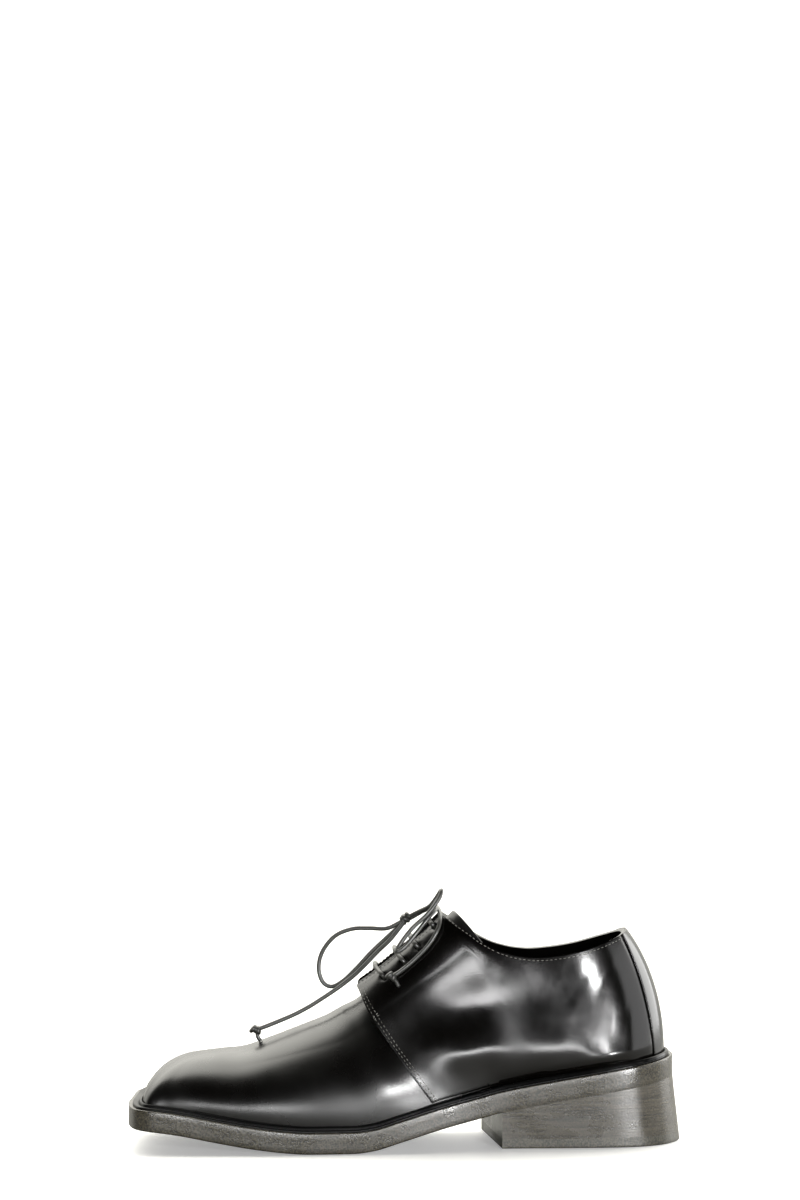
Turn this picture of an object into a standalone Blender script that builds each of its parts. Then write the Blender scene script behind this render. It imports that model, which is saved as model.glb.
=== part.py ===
"""Left derby shoe with a square toe and a block heel, in metres, +Z up.

The toe points to -X, the outer (lateral) side to -Y. The floor is z = 0.
"""

import math
from collections import namedtuple
from functools import lru_cache

import bmesh
import bpy
import numpy as np
from mathutils import Euler, Vector

MM = 0.001

# Overall sizes
LENGTH = 278.5 * MM          # toe to the heel's foot
BALL_WIDTH = 95.0 * MM       # outsole at the ball
HEEL_WIDTH = 63.0 * MM       # outsole at the heel
TOE_HEIGHT = 45.8 * MM       # flat of the toe above the floor
INSTEP_HEIGHT = 115.4 * MM   # tongue's top
BACK_HEIGHT = 106.2 * MM     # collar at the back
TOE_SPRING = 11.7 * MM       # underside of the toe above the floor
HEEL_RISE = 33.0 * MM        # underside of the outsole at the heel's back

# Thicknesses and clearances
SOLE_THICKNESS = 10.3 * MM
SOLE_ROUND = 0.9 * MM
TOP_LIFT = 4.8 * MM
HEEL_FLARE = 3.7 * MM        # the heel's foot stands this far behind its top
RIDGE_ROUND = 0.5            # share of a section, from the ridge, that turns square to it
FIT = 0.3 * MM               # between pieces that touch
WALL = 2.0 * MM              # vamp leather and lining
QUARTER_STEP = 1.1 * MM      # quarter leather over the vamp
QUARTER_LAP = 1.3 * MM       # how deep the quarter's lining lies under the vamp's face
STRIP_THICKNESS = 0.9 * MM
TONGUE_THICKNESS = 2.0 * MM
INSOLE_THICKNESS = 2.6 * MM
WELT_STRIP = 1.2 * MM
WELT_BEAD = 2.6 * MM         # height of the bead that hugs the upper
BEAD_WIDTH = 1.9 * MM
WELT_LEAN = 0.35 * MM        # the bead's inner face leans out with the upper
WELT_REVEAL = 2.2 * MM       # outsole that shows outside the welt

# How far the upper's foot stands inside the outsole's edge
TOE_MARGIN = 7.4 * MM
SIDE_MARGIN = 6.4 * MM
HEEL_MARGIN = 6.3 * MM

# Facings, collar and lace
FACING_RISE = 6.6 * MM       # facings spring up from the tongue
THROAT_HALF = 6.5 * MM       # half the gap between the facings, at the ridge
THROAT_OPEN = 3.5 * MM       # how much wider that gets at the top
CORNER_ROUND = 3.2 * MM
EYELET_RADIUS = 1.6 * MM
LACE_DIAMETER = 2.2 * MM
LACE_SAG = 0.4 * MM           # of a crossing, between the facings
TONGUE_HALF = 21.0 * MM
STRIP_HALF = 15.5 * MM
KNOT_SIZE = (4.6 * MM, 4.6 * MM, 5.0 * MM)
END_KNOT_SIZE = (4.2 * MM, 4.2 * MM, 3.4 * MM)
KNOT_TURN = (0.0, math.radians(50), math.radians(10))

# A row for each section of the last, from the toe's middle round to the heel's middle.
# lat_* and med_*: the outsole's edge, along the sole and across it (share of the width).
# heel: 0 takes the ball's width, 1 the heel's. spine, off, toe, rise: where the section's
# top lies, along, across, and its height in shares of toe and instep height.
# square: exponent of the section's arch. swell: bulge of the wall, in mm. lean: 1 where
# the section is a plane that slants back, 0 where it runs in with its own arch.
Section = namedtuple(
    "Section",
    "lat_along lat_across med_along med_across heel spine off toe rise square swell lean",
)
SECTIONS = [
    Section(0.004, -0.008, 0.004, -0.008, 0.00, 0.161, 0.003, 1.0, 0.000, 2.05, 0.5, 0),
    Section(0.000, -0.134, 0.007, 0.118, 0.00, 0.161, 0.003, 1.0, 0.000, 2.04, 0.5, 0),
    Section(0.001, -0.260, 0.011, 0.244, 0.00, 0.161, 0.003, 1.0, 0.000, 1.98, 0.5, 0),
    Section(0.006, -0.337, 0.016, 0.316, 0.00, 0.161, 0.003, 1.0, 0.000, 1.86, 0.6, 0),
    Section(0.015, -0.388, 0.025, 0.366, 0.00, 0.161, 0.003, 1.0, 0.000, 1.80, 0.6, 0),
    Section(0.034, -0.416, 0.041, 0.393, 0.00, 0.162, 0.003, 1.0, 0.000, 1.86, 0.7, 0),
    Section(0.070, -0.430, 0.075, 0.411, 0.00, 0.166, 0.005, 1.0, 0.000, 2.00, 0.9, 0),
    Section(0.128, -0.446, 0.129, 0.440, 0.00, 0.183, 0.013, 1.0, 0.004, 2.12, 1.2, 0),
    Section(0.186, -0.468, 0.186, 0.470, 0.00, 0.216, 0.024, 0.8, 0.090, 2.18, 1.5, 0),
    Section(0.245, -0.488, 0.245, 0.493, 0.00, 0.256, 0.034, 0.5, 0.243, 2.20, 1.8, 0),
    Section(0.303, -0.499, 0.303, 0.500, 0.00, 0.296, 0.034, 0.2, 0.400, 2.15, 1.9, 0),
    Section(0.361, -0.498, 0.361, 0.488, 0.00, 0.332, 0.029, 0.0, 0.514, 2.10, 1.9, 0.3),
    Section(0.427, -0.484, 0.427, 0.451, 0.00, 0.363, 0.024, 0.0, 0.545, 2.05, 1.8, 0.6),
    Section(0.492, -0.500, 0.492, 0.425, 0.25, 0.390, 0.020, 0.0, 0.582, 2.12, 1.7, 0.9),
    Section(0.561, -0.500, 0.561, 0.395, 0.50, 0.416, 0.016, 0.0, 0.613, 2.12, 1.7, 1),
    Section(0.601, -0.511, 0.601, 0.397, 0.70, 0.445, 0.003, 0.0, 0.670, 2.12, 1.8, 1),
    Section(0.641, -0.521, 0.641, 0.408, 0.85, 0.476, -0.008, 0.0, 0.737, 2.12, 1.9, 1),
    Section(0.681, -0.542, 0.681, 0.433, 1.00, 0.510, -0.020, 0.0, 0.810, 2.12, 2.0, 1),
    Section(0.725, -0.542, 0.725, 0.437, 1.00, 0.547, -0.028, 0.0, 0.888, 2.12, 2.2, 1),
    Section(0.769, -0.547, 0.769, 0.447, 1.00, 0.587, -0.036, 0.0, 0.985, 2.12, 2.3, 1),
    Section(0.812, -0.548, 0.812, 0.450, 1.00, 0.638, -0.044, 0.0, 1.109, 2.00, 2.4, 1),
    Section(0.856, -0.544, 0.856, 0.445, 1.00, 0.689, -0.048, 0.0, 1.213, 2.00, 2.3, 0.9),
    Section(0.896, -0.526, 0.896, 0.429, 1.00, 0.732, -0.048, 0.0, 1.282, 2.00, 2.0, 0.75),
    Section(0.932, -0.485, 0.932, 0.391, 1.00, 0.761, -0.048, 0.0, 1.256, 2.00, 1.6, 0.5),
    Section(0.963, -0.402, 0.963, 0.312, 1.00, 0.776, -0.048, 0.0, 1.187, 2.00, 1.1, 0.25),
    Section(0.986, -0.275, 0.986, 0.188, 1.00, 0.780, -0.048, 0.0, 1.118, 2.00, 0.6, 0.08),
    Section(0.997, -0.147, 0.997, 0.052, 1.00, 0.780, -0.048, 0.0, 1.088, 2.00, 0.3, 0),
    Section(1.000, -0.048, 1.000, -0.048, 1.00, 0.780, -0.048, 0.0, 1.083, 2.00, 0.3, 0),
]
LAST = len(SECTIONS) - 1

VAMP_TUCK = 0.03             # the vamp's foot ends this angle higher under the quarters
STRIP_FOOT = 0.012           # and the back strip's foot this much

# Places counted in sections
SEAM = 14.0                  # front edge of the quarters
HEEL_SECTIONS = 12           # sections that the heel's outline follows, from its middle
SEAM_BEND = 0.5              # how far that edge bends back at the facing's corner
VAMP_END = 15.3              # hidden edge of the vamp, under the quarters
TONGUE_END = 19.15
TONGUE_RISE = 0.72           # lowest share of the section's rise that the tongue reaches
TONGUE_BEND = 0.3            # how much further back the tongue's end lies at its sides
Step = namedtuple("Step", "until size")
STEPS = [Step(3.0, 1.0), Step(5.5, 0.25), Step(LAST - 4.0, 0.5), Step(LAST + 1.0, 0.5)]
ROWS = 9                     # rows of faces from the welt up to the edge

# Underside of the outsole along its length: shares of toe spring and of heel rise.
Floor = namedtuple("Floor", "along spring rise")
FLOOR_LINE = [
    Floor(0.000, 1.00, 0.000),
    Floor(0.085, 0.77, 0.000),
    Floor(0.154, 0.48, 0.000),
    Floor(0.223, 0.215, 0.000),
    Floor(0.292, 0.04, 0.000),
    Floor(0.325, 0.00, 0.000),
    Floor(0.405, 0.00, 0.000),
    Floor(0.440, 0.00, 0.030),
    Floor(0.489, 0.00, 0.140),
    Floor(0.558, 0.00, 0.300),
    Floor(0.638, 0.00, 0.460),
    Floor(0.676, 0.00, 0.540),
    Floor(1.000, 0.00, 1.000),
]

# The collar's edge in side view, behind the facings: share of the back height.
Edge = namedtuple("Edge", "along lateral medial")
COLLAR = [
    Edge(0.545, 1.150, 1.150),
    Edge(0.572, 1.083, 1.083),
    Edge(0.592, 1.044, 1.048),
    Edge(0.608, 1.017, 1.022),
    Edge(0.643, 0.955, 0.960),
    Edge(0.678, 0.913, 0.917),
    Edge(0.714, 0.891, 0.894),
    Edge(0.740, 0.886, 0.888),
    Edge(0.787, 0.896, 0.898),
    Edge(0.823, 0.915, 0.914),
    Edge(0.860, 0.944, 0.942),
    Edge(0.898, 0.980, 0.978),
    Edge(0.914, 1.000, 1.000),
    Edge(1.000, 1.090, 1.090),
]

# Heel breast, along the sole, at the lateral and the medial side
BREAST_LATERAL = 0.676
BREAST_MEDIAL = 0.655

# Eyelet pairs: the section that each lies on, and its distance from the ridge
Eyelet = namedtuple("Eyelet", "section inset")
EYELETS = [
    Eyelet(15.75, 16.0 * MM),
    Eyelet(16.78, 16.2 * MM),
    Eyelet(17.55, 14.6 * MM),
    Eyelet(18.48, 12.4 * MM),
]

# The bow's cords, each by the points that it runs through, in mm
Point = namedtuple("Point", "x y z")
KNOT = Point(0.0, -2.0, 111.6)
LOOP_FRONT = [
    Point(-2.6, -1.6, 109.5),
    Point(-9.3, -0.4, 106.5),
    Point(-17.8, 1.6, 106.4),
    Point(-26.9, 3.2, 105.9),
    Point(-35.5, 4.6, 102.2),
    Point(-41.7, 5.7, 94.5),
    Point(-43.7, 6.1, 86.3),
    Point(-41.8, 6.0, 79.0),
    Point(-37.2, 5.5, 76.5),
    Point(-31.4, 4.7, 79.4),
    Point(-24.8, 3.9, 85.7),
    Point(-17.5, 3.1, 93.7),
    Point(-9.7, 2.2, 101.2),
    Point(-3.0, 1.2, 107.3),
]
END_FRONT = [
    Point(-2.2, -4.2, 108.2),
    Point(-7.6, -3.2, 101.3),
    Point(-13.9, -2.0, 95.1),
    Point(-19.9, -1.0, 88.7),
    Point(-26.0, 0.0, 82.7),
    Point(-33.3, 0.8, 76.9),
    Point(-41.7, 1.4, 71.2),
    Point(-48.2, 1.7, 67.1),
    Point(-55.3, 1.9, 63.3),
    Point(-62.4, 2.0, 60.2),
    Point(-71.3, 2.0, 56.7),
]
LOOP_SIDE = [
    Point(2.5, -3.6, 113.2),
    Point(6.6, -5.6, 115.4),
    Point(11.6, -9.5, 118.4),
    Point(15.0, -9.9, 122.6),
    Point(17.2, -10.4, 126.1),
    Point(17.5, -13.2, 126.3),
    Point(15.9, -15.0, 122.4),
    Point(10.2, -16.6, 115.1),
    Point(2.4, -17.4, 108.0),
    Point(-4.0, -18.4, 99.7),
    Point(-5.2, -20.2, 96.6),
    Point(-0.8, -19.6, 99.7),
    Point(5.5, -17.8, 106.9),
    Point(11.6, -15.8, 114.2),
    Point(15.0, -10.0, 117.5),
    Point(10.5, -2.5, 116.8),
    Point(2.9, -0.9, 112.8),
]
END_SIDE = [
    Point(2.9, 2.0, 110.8),
    Point(9.9, 2.6, 115.2),
    Point(15.2, -1.8, 117.7),
    Point(16.9, -12.0, 114.6),
    Point(15.6, -19.0, 108.7),
    Point(11.1, -20.8, 100.8),
    Point(3.3, -20.9, 92.6),
    Point(-3.6, -21.0, 87.0),
]
# name, middle of the knot, and its tail's tip counted from there
END_KNOTS = [
    ("end_knot_1", Point(-75.6, 2.0, 55.3), Point(2.0, 0.0, -5.8)),
    ("end_knot_2", Point(-8.0, -21.4, 84.6), Point(2.0, -1.0, -5.0)),
]

COLLECTION = "derby_shoe"


def length_at(share):
    """Place along the shoe of a share of the outsole's length."""
    return -LENGTH / 2 + share * (LENGTH - HEEL_FLARE)


def share_at(x):
    return (x + LENGTH / 2) / (LENGTH - HEEL_FLARE)


def through(points, t):
    """Point at t of the smooth curve through the points: t counts the points."""
    t = min(max(t, 0.0), len(points) - 1.0)
    i = min(int(t), len(points) - 2)
    f = t - i
    a, b = np.array(points[i], float), np.array(points[i + 1], float)
    before = np.array(points[i - 1], float) if i > 0 else 2 * a - b
    after = np.array(points[i + 2], float) if i + 2 < len(points) else 2 * b - a
    return (
        a
        + f * (b - before) / 2
        + f * f * (before - 2.5 * a + 2 * b - after / 2)
        + f**3 * (1.5 * (a - b) + (after - before) / 2)
    )


def eased(x, xs, ys):
    """Smooth line through the points of a table that rises in x, with no overshoot."""
    x = min(max(x, xs[0]), xs[-1])
    i = min(max(int(np.searchsorted(xs, x)) - 1, 0), len(xs) - 2)
    slopes = [(ys[k + 1] - ys[k]) / (xs[k + 1] - xs[k]) for k in range(len(xs) - 1)]

    def slope(k):
        if k == 0 or k == len(xs) - 1:
            return slopes[min(k, len(slopes) - 1)]
        if slopes[k - 1] * slopes[k] <= 0:
            return 0.0
        return 2 * slopes[k - 1] * slopes[k] / (slopes[k - 1] + slopes[k])

    h = xs[i + 1] - xs[i]
    f = (x - xs[i]) / h
    return (
        ys[i] * (1 + 2 * f) * (1 - f) ** 2
        + ys[i + 1] * f * f * (3 - 2 * f)
        + h * slope(i) * f * (1 - f) ** 2
        - h * slope(i + 1) * f * f * (1 - f)
    )


def ramp(x, low, high):
    f = min(max((x - low) / (high - low), 0.0), 1.0)
    return f * f * (3 - 2 * f)


@lru_cache(maxsize=None)
def section(s):
    return Section(*through(SECTIONS, s))


def underside(x):
    """Height of the outsole's underside."""
    share = share_at(x)
    spring = eased(share, [r.along for r in FLOOR_LINE], [r.spring for r in FLOOR_LINE])
    rise = eased(share, [r.along for r in FLOOR_LINE], [r.rise for r in FLOOR_LINE])
    return max(0.0, spring * TOE_SPRING + rise * HEEL_RISE)


def sole_top(x):
    return underside(x) + SOLE_THICKNESS


def round_end(s, side):
    """Place and side of a station, past the toe's or heel's middle on the other side."""
    if s < 0:
        return -s, -side
    if s > LAST:
        return 2 * LAST - s, -side
    return s, side


def sole_edge(s, side):
    """Point of the outsole's edge in plan."""
    row = section(s)
    width = BALL_WIDTH * (1 - row.heel) + HEEL_WIDTH * row.heel
    if side < 0:
        return Vector((length_at(row.lat_along), row.lat_across * width))
    return Vector((length_at(row.med_along), row.med_across * width))


def outward(s, side):
    """Plan direction straight out of the outsole's edge."""
    step = 0.12
    along = sole_edge(*round_end(s + step, side)) - sole_edge(*round_end(s - step, side))
    return Vector((-along.y, along.x)).normalized() * side


def inset_edge(s, side, inset):
    """Point that lies inset inside the outsole's edge, in plan.

    Round the toe it moves towards the ridge, so that the corners keep their round.
    """
    edge, inward = sole_edge(s, side), -outward(s, side)
    row = section(s)
    toward = (Vector((length_at(row.spine), row.off * BALL_WIDTH)) - edge).normalized()
    way = inward.lerp(toward, 1 - ramp(s, 4.5, 9.0)).normalized()
    return edge + way * (inset / max(way.dot(inward), 0.7))


def margin(s):
    """How far the upper's foot stands inside the outsole's edge."""
    toe = 1 - ramp(s, 3.5, 7.5)
    heel = ramp(s, 12.0, 24.0)
    return TOE_MARGIN * toe + HEEL_MARGIN * heel + SIDE_MARGIN * (1 - toe) * (1 - heel)


def spine(s):
    """Top of the section at s, on the last's ridge."""
    row = section(s)
    width = BALL_WIDTH * (1 - row.heel) + HEEL_WIDTH * row.heel
    height = row.toe * TOE_HEIGHT + row.rise * INSTEP_HEIGHT
    return Vector((length_at(row.spine), row.off * width, height))


def last_point(s, side, angle):
    """Point of the last's face: angle 0 is at the welt, 90 degrees on the ridge."""
    row = section(s)
    foot = inset_edge(s, side, margin(s))
    top = spine(s)
    bottom = sole_top(foot.x) + FIT
    left = max(math.cos(angle), 0.0) ** (2 / row.square)
    run = 1 - left
    rise = max(math.sin(angle), 0.0) ** (2 / row.square)
    # both halves meet square to the ridge, so that it stays round
    near = min(left / RIDGE_ROUND, 1.0)
    left_x = RIDGE_ROUND * near**2 * (2 - near) if near < 1 else left
    run_x = (1 - left_x) * (1 - row.lean) + rise * row.lean
    swell = row.swell * MM * math.sin(math.pi * min(rise / 0.8, 1.0))
    out = outward(s, side) * swell
    return Vector(
        (
            foot.x + (top.x - foot.x) * run_x + out.x,
            foot.y + (top.y - foot.y) * run + out.y,
            bottom + (top.z - bottom) * rise,
        )
    )


def facing_lift(s, rise):
    """How far the quarter stands off the last: more where the facings spring up."""
    free = ramp(rise, 0.52, 0.97) * (1 - ramp(s, 19.0, 22.0))
    return QUARTER_STEP + FACING_RISE * free


def face_normal(s, side, angle):
    step_s, step_a = 0.15, 0.03
    a0, a1 = max(angle - step_a, 0.0), min(angle + step_a, math.pi / 2)
    ahead = last_point(*round_end(s + step_s, side), angle)
    behind = last_point(*round_end(s - step_s, side), angle)
    along = ahead - behind
    up = last_point(s, side, a1) - last_point(s, side, a0)
    normal = up.cross(along) * side
    if normal.length < 1e-12 or angle >= math.pi / 2 - 1e-6:
        slope = spine(min(s + step_s, LAST)) - spine(max(s - step_s, 0))
        if slope.length < 1e-9:
            return Vector((0, 0, 1))
        return Vector((-slope.z, 0, abs(slope.x))).normalized()
    return normal.normalized()


def skin(s, side, angle, lift):
    """Point lift above the last's face."""
    return last_point(s, side, angle) + face_normal(s, side, angle) * lift


def quarter_lift(s, angle):
    rise = math.sin(angle) ** (2 / section(s).square)
    return facing_lift(s, rise)


def collar_height(x, side):
    share = share_at(x)
    column = [r.lateral if side < 0 else r.medial for r in COLLAR]
    return BACK_HEIGHT * eased(share, [r.along for r in COLLAR], column)


def throat_half(s):
    """Half the gap between the facings, with the front corners rounded."""
    corner = max(0.0, 1 - (s - SEAM) / 0.5)
    return THROAT_HALF + THROAT_OPEN * ramp(s, SEAM, 19.0) + CORNER_ROUND * corner**2


def rim_angle(s, side):
    """Angle at which the quarter ends: at the facing's edge or at the collar."""
    low, high = 0.2, math.pi / 2
    for _ in range(30):
        angle = (low + high) / 2
        point = skin(s, side, angle, quarter_lift(s, angle))
        past_collar = point.x > length_at(COLLAR[0].along) and (
            point.z > collar_height(point.x, side)
        )
        past_facing = abs(point.y - spine(s).y) < throat_half(s) and s < 21.0
        if past_collar or past_facing:
            high = angle
        else:
            low = angle
    return (low + high) / 2


def stations(first, last):
    """Places from first to last: one for each section or half section, more at corners."""
    inner, s = [], 0.0
    while s < last:
        inner.append(s)
        s += next(step.size for step in STEPS if s < step.until)
    gap = 0.12
    return [first, *[s for s in inner if first + gap < s < last - gap], last]


def new_object(name, mesh_or_curve, material):
    thing = bpy.data.objects.new(name, mesh_or_curve)
    bpy.data.collections[COLLECTION].objects.link(thing)
    thing.data.materials.append(bpy.data.materials[material])
    return thing


def mesh_object(name, points, faces, material):
    """Mesh object from a loft's points and faces, welded, smooth and facing out."""
    mesh = bpy.data.meshes.new(name)
    mesh.from_pydata([tuple(p) for p in points], [], faces)
    form = bmesh.new()
    form.from_mesh(mesh)
    bmesh.ops.remove_doubles(form, verts=form.verts, dist=0.00002)
    bmesh.ops.dissolve_degenerate(form, edges=form.edges, dist=0.00001)
    bmesh.ops.recalc_face_normals(form, faces=form.faces)
    form.to_mesh(mesh)
    form.free()
    mesh.shade_smooth()
    mesh.set_sharp_from_angle(angle=math.radians(40))
    return new_object(name, mesh, material)


def loft(name, rings, material, closed_rings=True, closed_loft=False):
    """Solid through rings of equally many points; the end rings are filled as strips.

    A closed loft joins the last ring to the first and has no ends.
    """
    count = len(rings[0])
    points = [p for ring in rings for p in ring]
    faces = []
    across = range(count if closed_rings else count - 1)
    for k in range(len(rings) if closed_loft else len(rings) - 1):
        a, b = k * count, (k + 1) % len(rings) * count
        faces += [(a + i, a + (i + 1) % count, b + (i + 1) % count, b + i) for i in across]
    if not closed_loft:
        for a in (0, (len(rings) - 1) * count):
            faces += strip_cap(a, count)
    return mesh_object(name, points, faces, material)


def strip_cap(a, count):
    """Faces across a ring that runs out one side and back the other."""
    faces = []
    for i in range(count // 2 - 1):
        near, far = a + i, a + count - 1 - i
        faces.append((near, near + 1, far - 1, far))
    return faces


def plan_ring(places, inset, height):
    """Ring round the shoe at an inset from the outsole's edge, lateral side first."""
    ring = []
    for side, run in ((-1, places), (1, places[::-1])):
        for s in run:
            point = inset_edge(s, side, inset(s) if callable(inset) else inset)
            ring.append(Vector((point.x, point.y, height(point.x))))
    return ring


def outsole():
    places = stations(0.0, LAST)
    rings = [
        plan_ring(places, SOLE_ROUND, underside),
        plan_ring(places, 0.0, lambda x: underside(x) + SOLE_ROUND),
        plan_ring(places, 0.0, lambda x: sole_top(x) - SOLE_ROUND / 2),
        plan_ring(places, SOLE_ROUND / 2, sole_top),
    ]
    loft("outsole", rings, "sole_leather")


def upper_cover(s):
    """How far the upper's outer face stands off the last at its foot."""
    quarter = QUARTER_STEP * ramp(s, SEAM - 0.6, SEAM - 0.1)
    strip = (FIT + STRIP_THICKNESS) * ramp(s, LAST - 4.2, LAST - 3.2)
    return quarter + strip


def welt():
    """Ring on the outsole: a flat strip with a bead against the upper."""
    places = stations(0.0, LAST)

    def inner(s):
        return margin(s) - upper_cover(s) - FIT

    def at(inset, lift):
        return plan_ring(places, inset, lambda x: sole_top(x) + FIT + lift)

    rings = [
        at(inner, 0.0),
        at(WELT_REVEAL, 0.0),
        at(WELT_REVEAL, WELT_STRIP),
        at(lambda s: inner(s) - BEAD_WIDTH, WELT_STRIP),
        at(lambda s: inner(s) - BEAD_WIDTH * 0.7, WELT_BEAD),
        at(lambda s: inner(s) - WELT_LEAN, WELT_BEAD),
    ]
    loft("welt", rings, "welt", closed_loft=True)


def heel_ring(places, level, inset=0.0):
    """Ring of the heel at a level; it starts at the breast and flares to its foot."""
    ring = []
    for side, run in ((-1, places), (1, places[::-1])):
        breast = length_at(BREAST_LATERAL if side < 0 else BREAST_MEDIAL)
        start = next(s for s in np.arange(12, LAST, 0.01) if sole_edge(s, side).x >= breast)
        for s in run:
            place = start + (LAST - start) * (s - places[0]) / (LAST - places[0])
            edge = inset_edge(place, side, inset)
            back = ramp(edge.x, breast, LENGTH / 2)
            x = max(edge.x, breast + inset) if s == places[0] else edge.x
            top = underside(edge.x) - FIT
            z = top if level is None else level
            ring.append(Vector((x + HEEL_FLARE * back * (1 - z / top), edge.y, z)))
    return ring


def heel():
    places = stations(LAST - HEEL_SECTIONS, LAST)
    loft(
        "heel_stack",
        [heel_ring(places, TOP_LIFT + FIT), heel_ring(places, None)],
        "heel_stack",
    )
    loft(
        "top_lift",
        [
            heel_ring(places, 0.0, SOLE_ROUND),
            heel_ring(places, SOLE_ROUND),
            heel_ring(places, TOP_LIFT),
        ],
        "top_lift",
    )


def shell_ring(s, side, angles, outer, inner):
    """Closed outline of a wall at one station: up the outer face and down the inner."""
    ring = [skin(s, side, a, outer(s, a)) for a in angles]
    ring += [skin(s, side, a, inner(s, a)) for a in reversed(angles)]
    return ring


def vamp():
    """Front of the upper: an arch from side to side at each station."""
    places = [*stations(0.0, SEAM - 0.2), SEAM, *stations(SEAM + 0.4, VAMP_END)]

    def wall(s, lift):
        low = VAMP_TUCK * ramp(s, SEAM - 0.2, SEAM)
        rows = [low + (math.pi / 2 - low) * k / ROWS for k in range(ROWS + 1)]
        lateral = [skin(s, -1, a, lift) for a in rows]
        medial = [skin(s, 1, a, lift) for a in rows[:-1]]
        return lateral + medial[::-1]

    count = 2 * ROWS + 1
    points, faces = [], []
    for lift in (0.0, -WALL):
        for s in places:
            points += wall(s, lift)
    inner = len(places) * count
    for k in range(len(places) - 1):
        for i in range(count - 1):
            a = k * count + i
            faces.append((a, a + 1, a + count + 1, a + count))
            b = inner + a
            faces.append((b, b + count, b + count + 1, b + 1))
        for i in (0, count - 1):
            a, b = k * count + i, inner + k * count + i
            faces.append((a, a + count, b + count, b))
    end = (len(places) - 1) * count
    for i in range(count - 1):
        a, b = end + i, inner + end + i
        faces.append((a, a + 1, b + 1, b))
    return mesh_object("upper", points, faces, "upper_leather")


def quarters():
    """Rear of the upper: a strip from the lateral facing round the heel to the medial."""
    places = [SEAM, SEAM + 0.12, SEAM + 0.28, *stations(SEAM + 0.5, LAST)]
    rings = []
    for side, run in ((-1, places), (1, places[-2::-1])):
        for s in run:
            top = rim_angle(s, side)
            angles = [top * k / ROWS for k in range(ROWS + 1)]
            outer, inner = [], []
            for k, angle in enumerate(angles):
                bend = SEAM_BEND * ramp(k / ROWS, 0.6, 1.0) * max(0.0, 1 - (s - SEAM) / 2)
                lift = quarter_lift(s + bend, angle)
                outer.append(skin(s + bend, side, angle, lift))
                inner.append(
                    skin(s + bend, side, angle, lift - QUARTER_STEP - QUARTER_LAP)
                )
            rings.append(outer + inner[::-1])
    return loft("quarters", rings, "upper_leather")


def eyelet_cutter(k, side):
    """Pin through the facing at an eyelet, square to its face."""
    s, angle = eyelet_place(k, side)
    centre = skin(s, side, angle, quarter_lift(s, angle) - QUARTER_STEP)
    normal = facing_normal(s, side, angle)
    bpy.ops.mesh.primitive_cylinder_add(
        vertices=8, radius=EYELET_RADIUS, depth=4 * QUARTER_STEP + 2 * WALL, location=centre
    )
    pin = bpy.context.object
    pin.name = f"eyelet_cutter_{k}_{'lateral' if side < 0 else 'medial'}"
    pin.rotation_euler = normal.to_track_quat("Z", "Y").to_euler()
    as_cutter(pin)
    return pin


def eyelet_place(k, side):
    """Station and angle of an eyelet on the quarter."""
    s, inset = EYELETS[k]
    low, high = 0.3, math.pi / 2
    for _ in range(30):
        angle = (low + high) / 2
        if abs(skin(s, side, angle, quarter_lift(s, angle)).y - spine(s).y) < inset:
            high = angle
        else:
            low = angle
    return s, angle


def facing_normal(s, side, angle):
    """Direction straight out of the quarter's face, with its spring counted in."""
    step_s, step_a = 0.1, 0.02

    def face(at, by):
        return skin(at, side, by, quarter_lift(at, by))

    along = face(s + step_s, angle) - face(s - step_s, angle)
    up = face(s, angle + step_a) - face(s, angle - step_a)
    return (up.cross(along) * side).normalized()


def as_cutter(thing):
    for owner in list(thing.users_collection):
        owner.objects.unlink(thing)
    bpy.data.collections["cutters"].objects.link(thing)
    thing.hide_render = True
    thing.display_type = "WIRE"


def add_boolean(target, tool, operation):
    change = target.modifiers.new(f"{operation.lower()} {tool.name}", "BOOLEAN")
    change.operation = operation
    change.solver = "EXACT"
    change.object = tool


def upper():
    body = vamp()
    rear = quarters()
    as_cutter(rear)
    add_boolean(body, rear, "UNION")
    for k in range(len(EYELETS)):
        for side in (-1, 1):
            add_boolean(body, eyelet_cutter(k, side), "DIFFERENCE")


def back_strip():
    """Strip over the back seam, cut from the upper's own face."""
    first = LAST - 4.0
    while abs(inset_edge(first, -1, HEEL_MARGIN).y - spine(first).y) > STRIP_HALF:
        first += 0.02
    places = stations(first, LAST)
    rings = []
    for side, run in ((-1, places), (1, places[-2::-1])):
        for s in run:
            top = rim_angle(s, side)
            angles = [STRIP_FOOT + (top - STRIP_FOOT) * k / ROWS for k in range(ROWS + 1)]
            rings.append(
                shell_ring(
                    s,
                    side,
                    angles,
                    lambda s, a: quarter_lift(s, a) + FIT + STRIP_THICKNESS,
                    lambda s, a: quarter_lift(s, a) + FIT,
                )
            )
    loft("back_strip", rings, "upper_leather")


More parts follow.
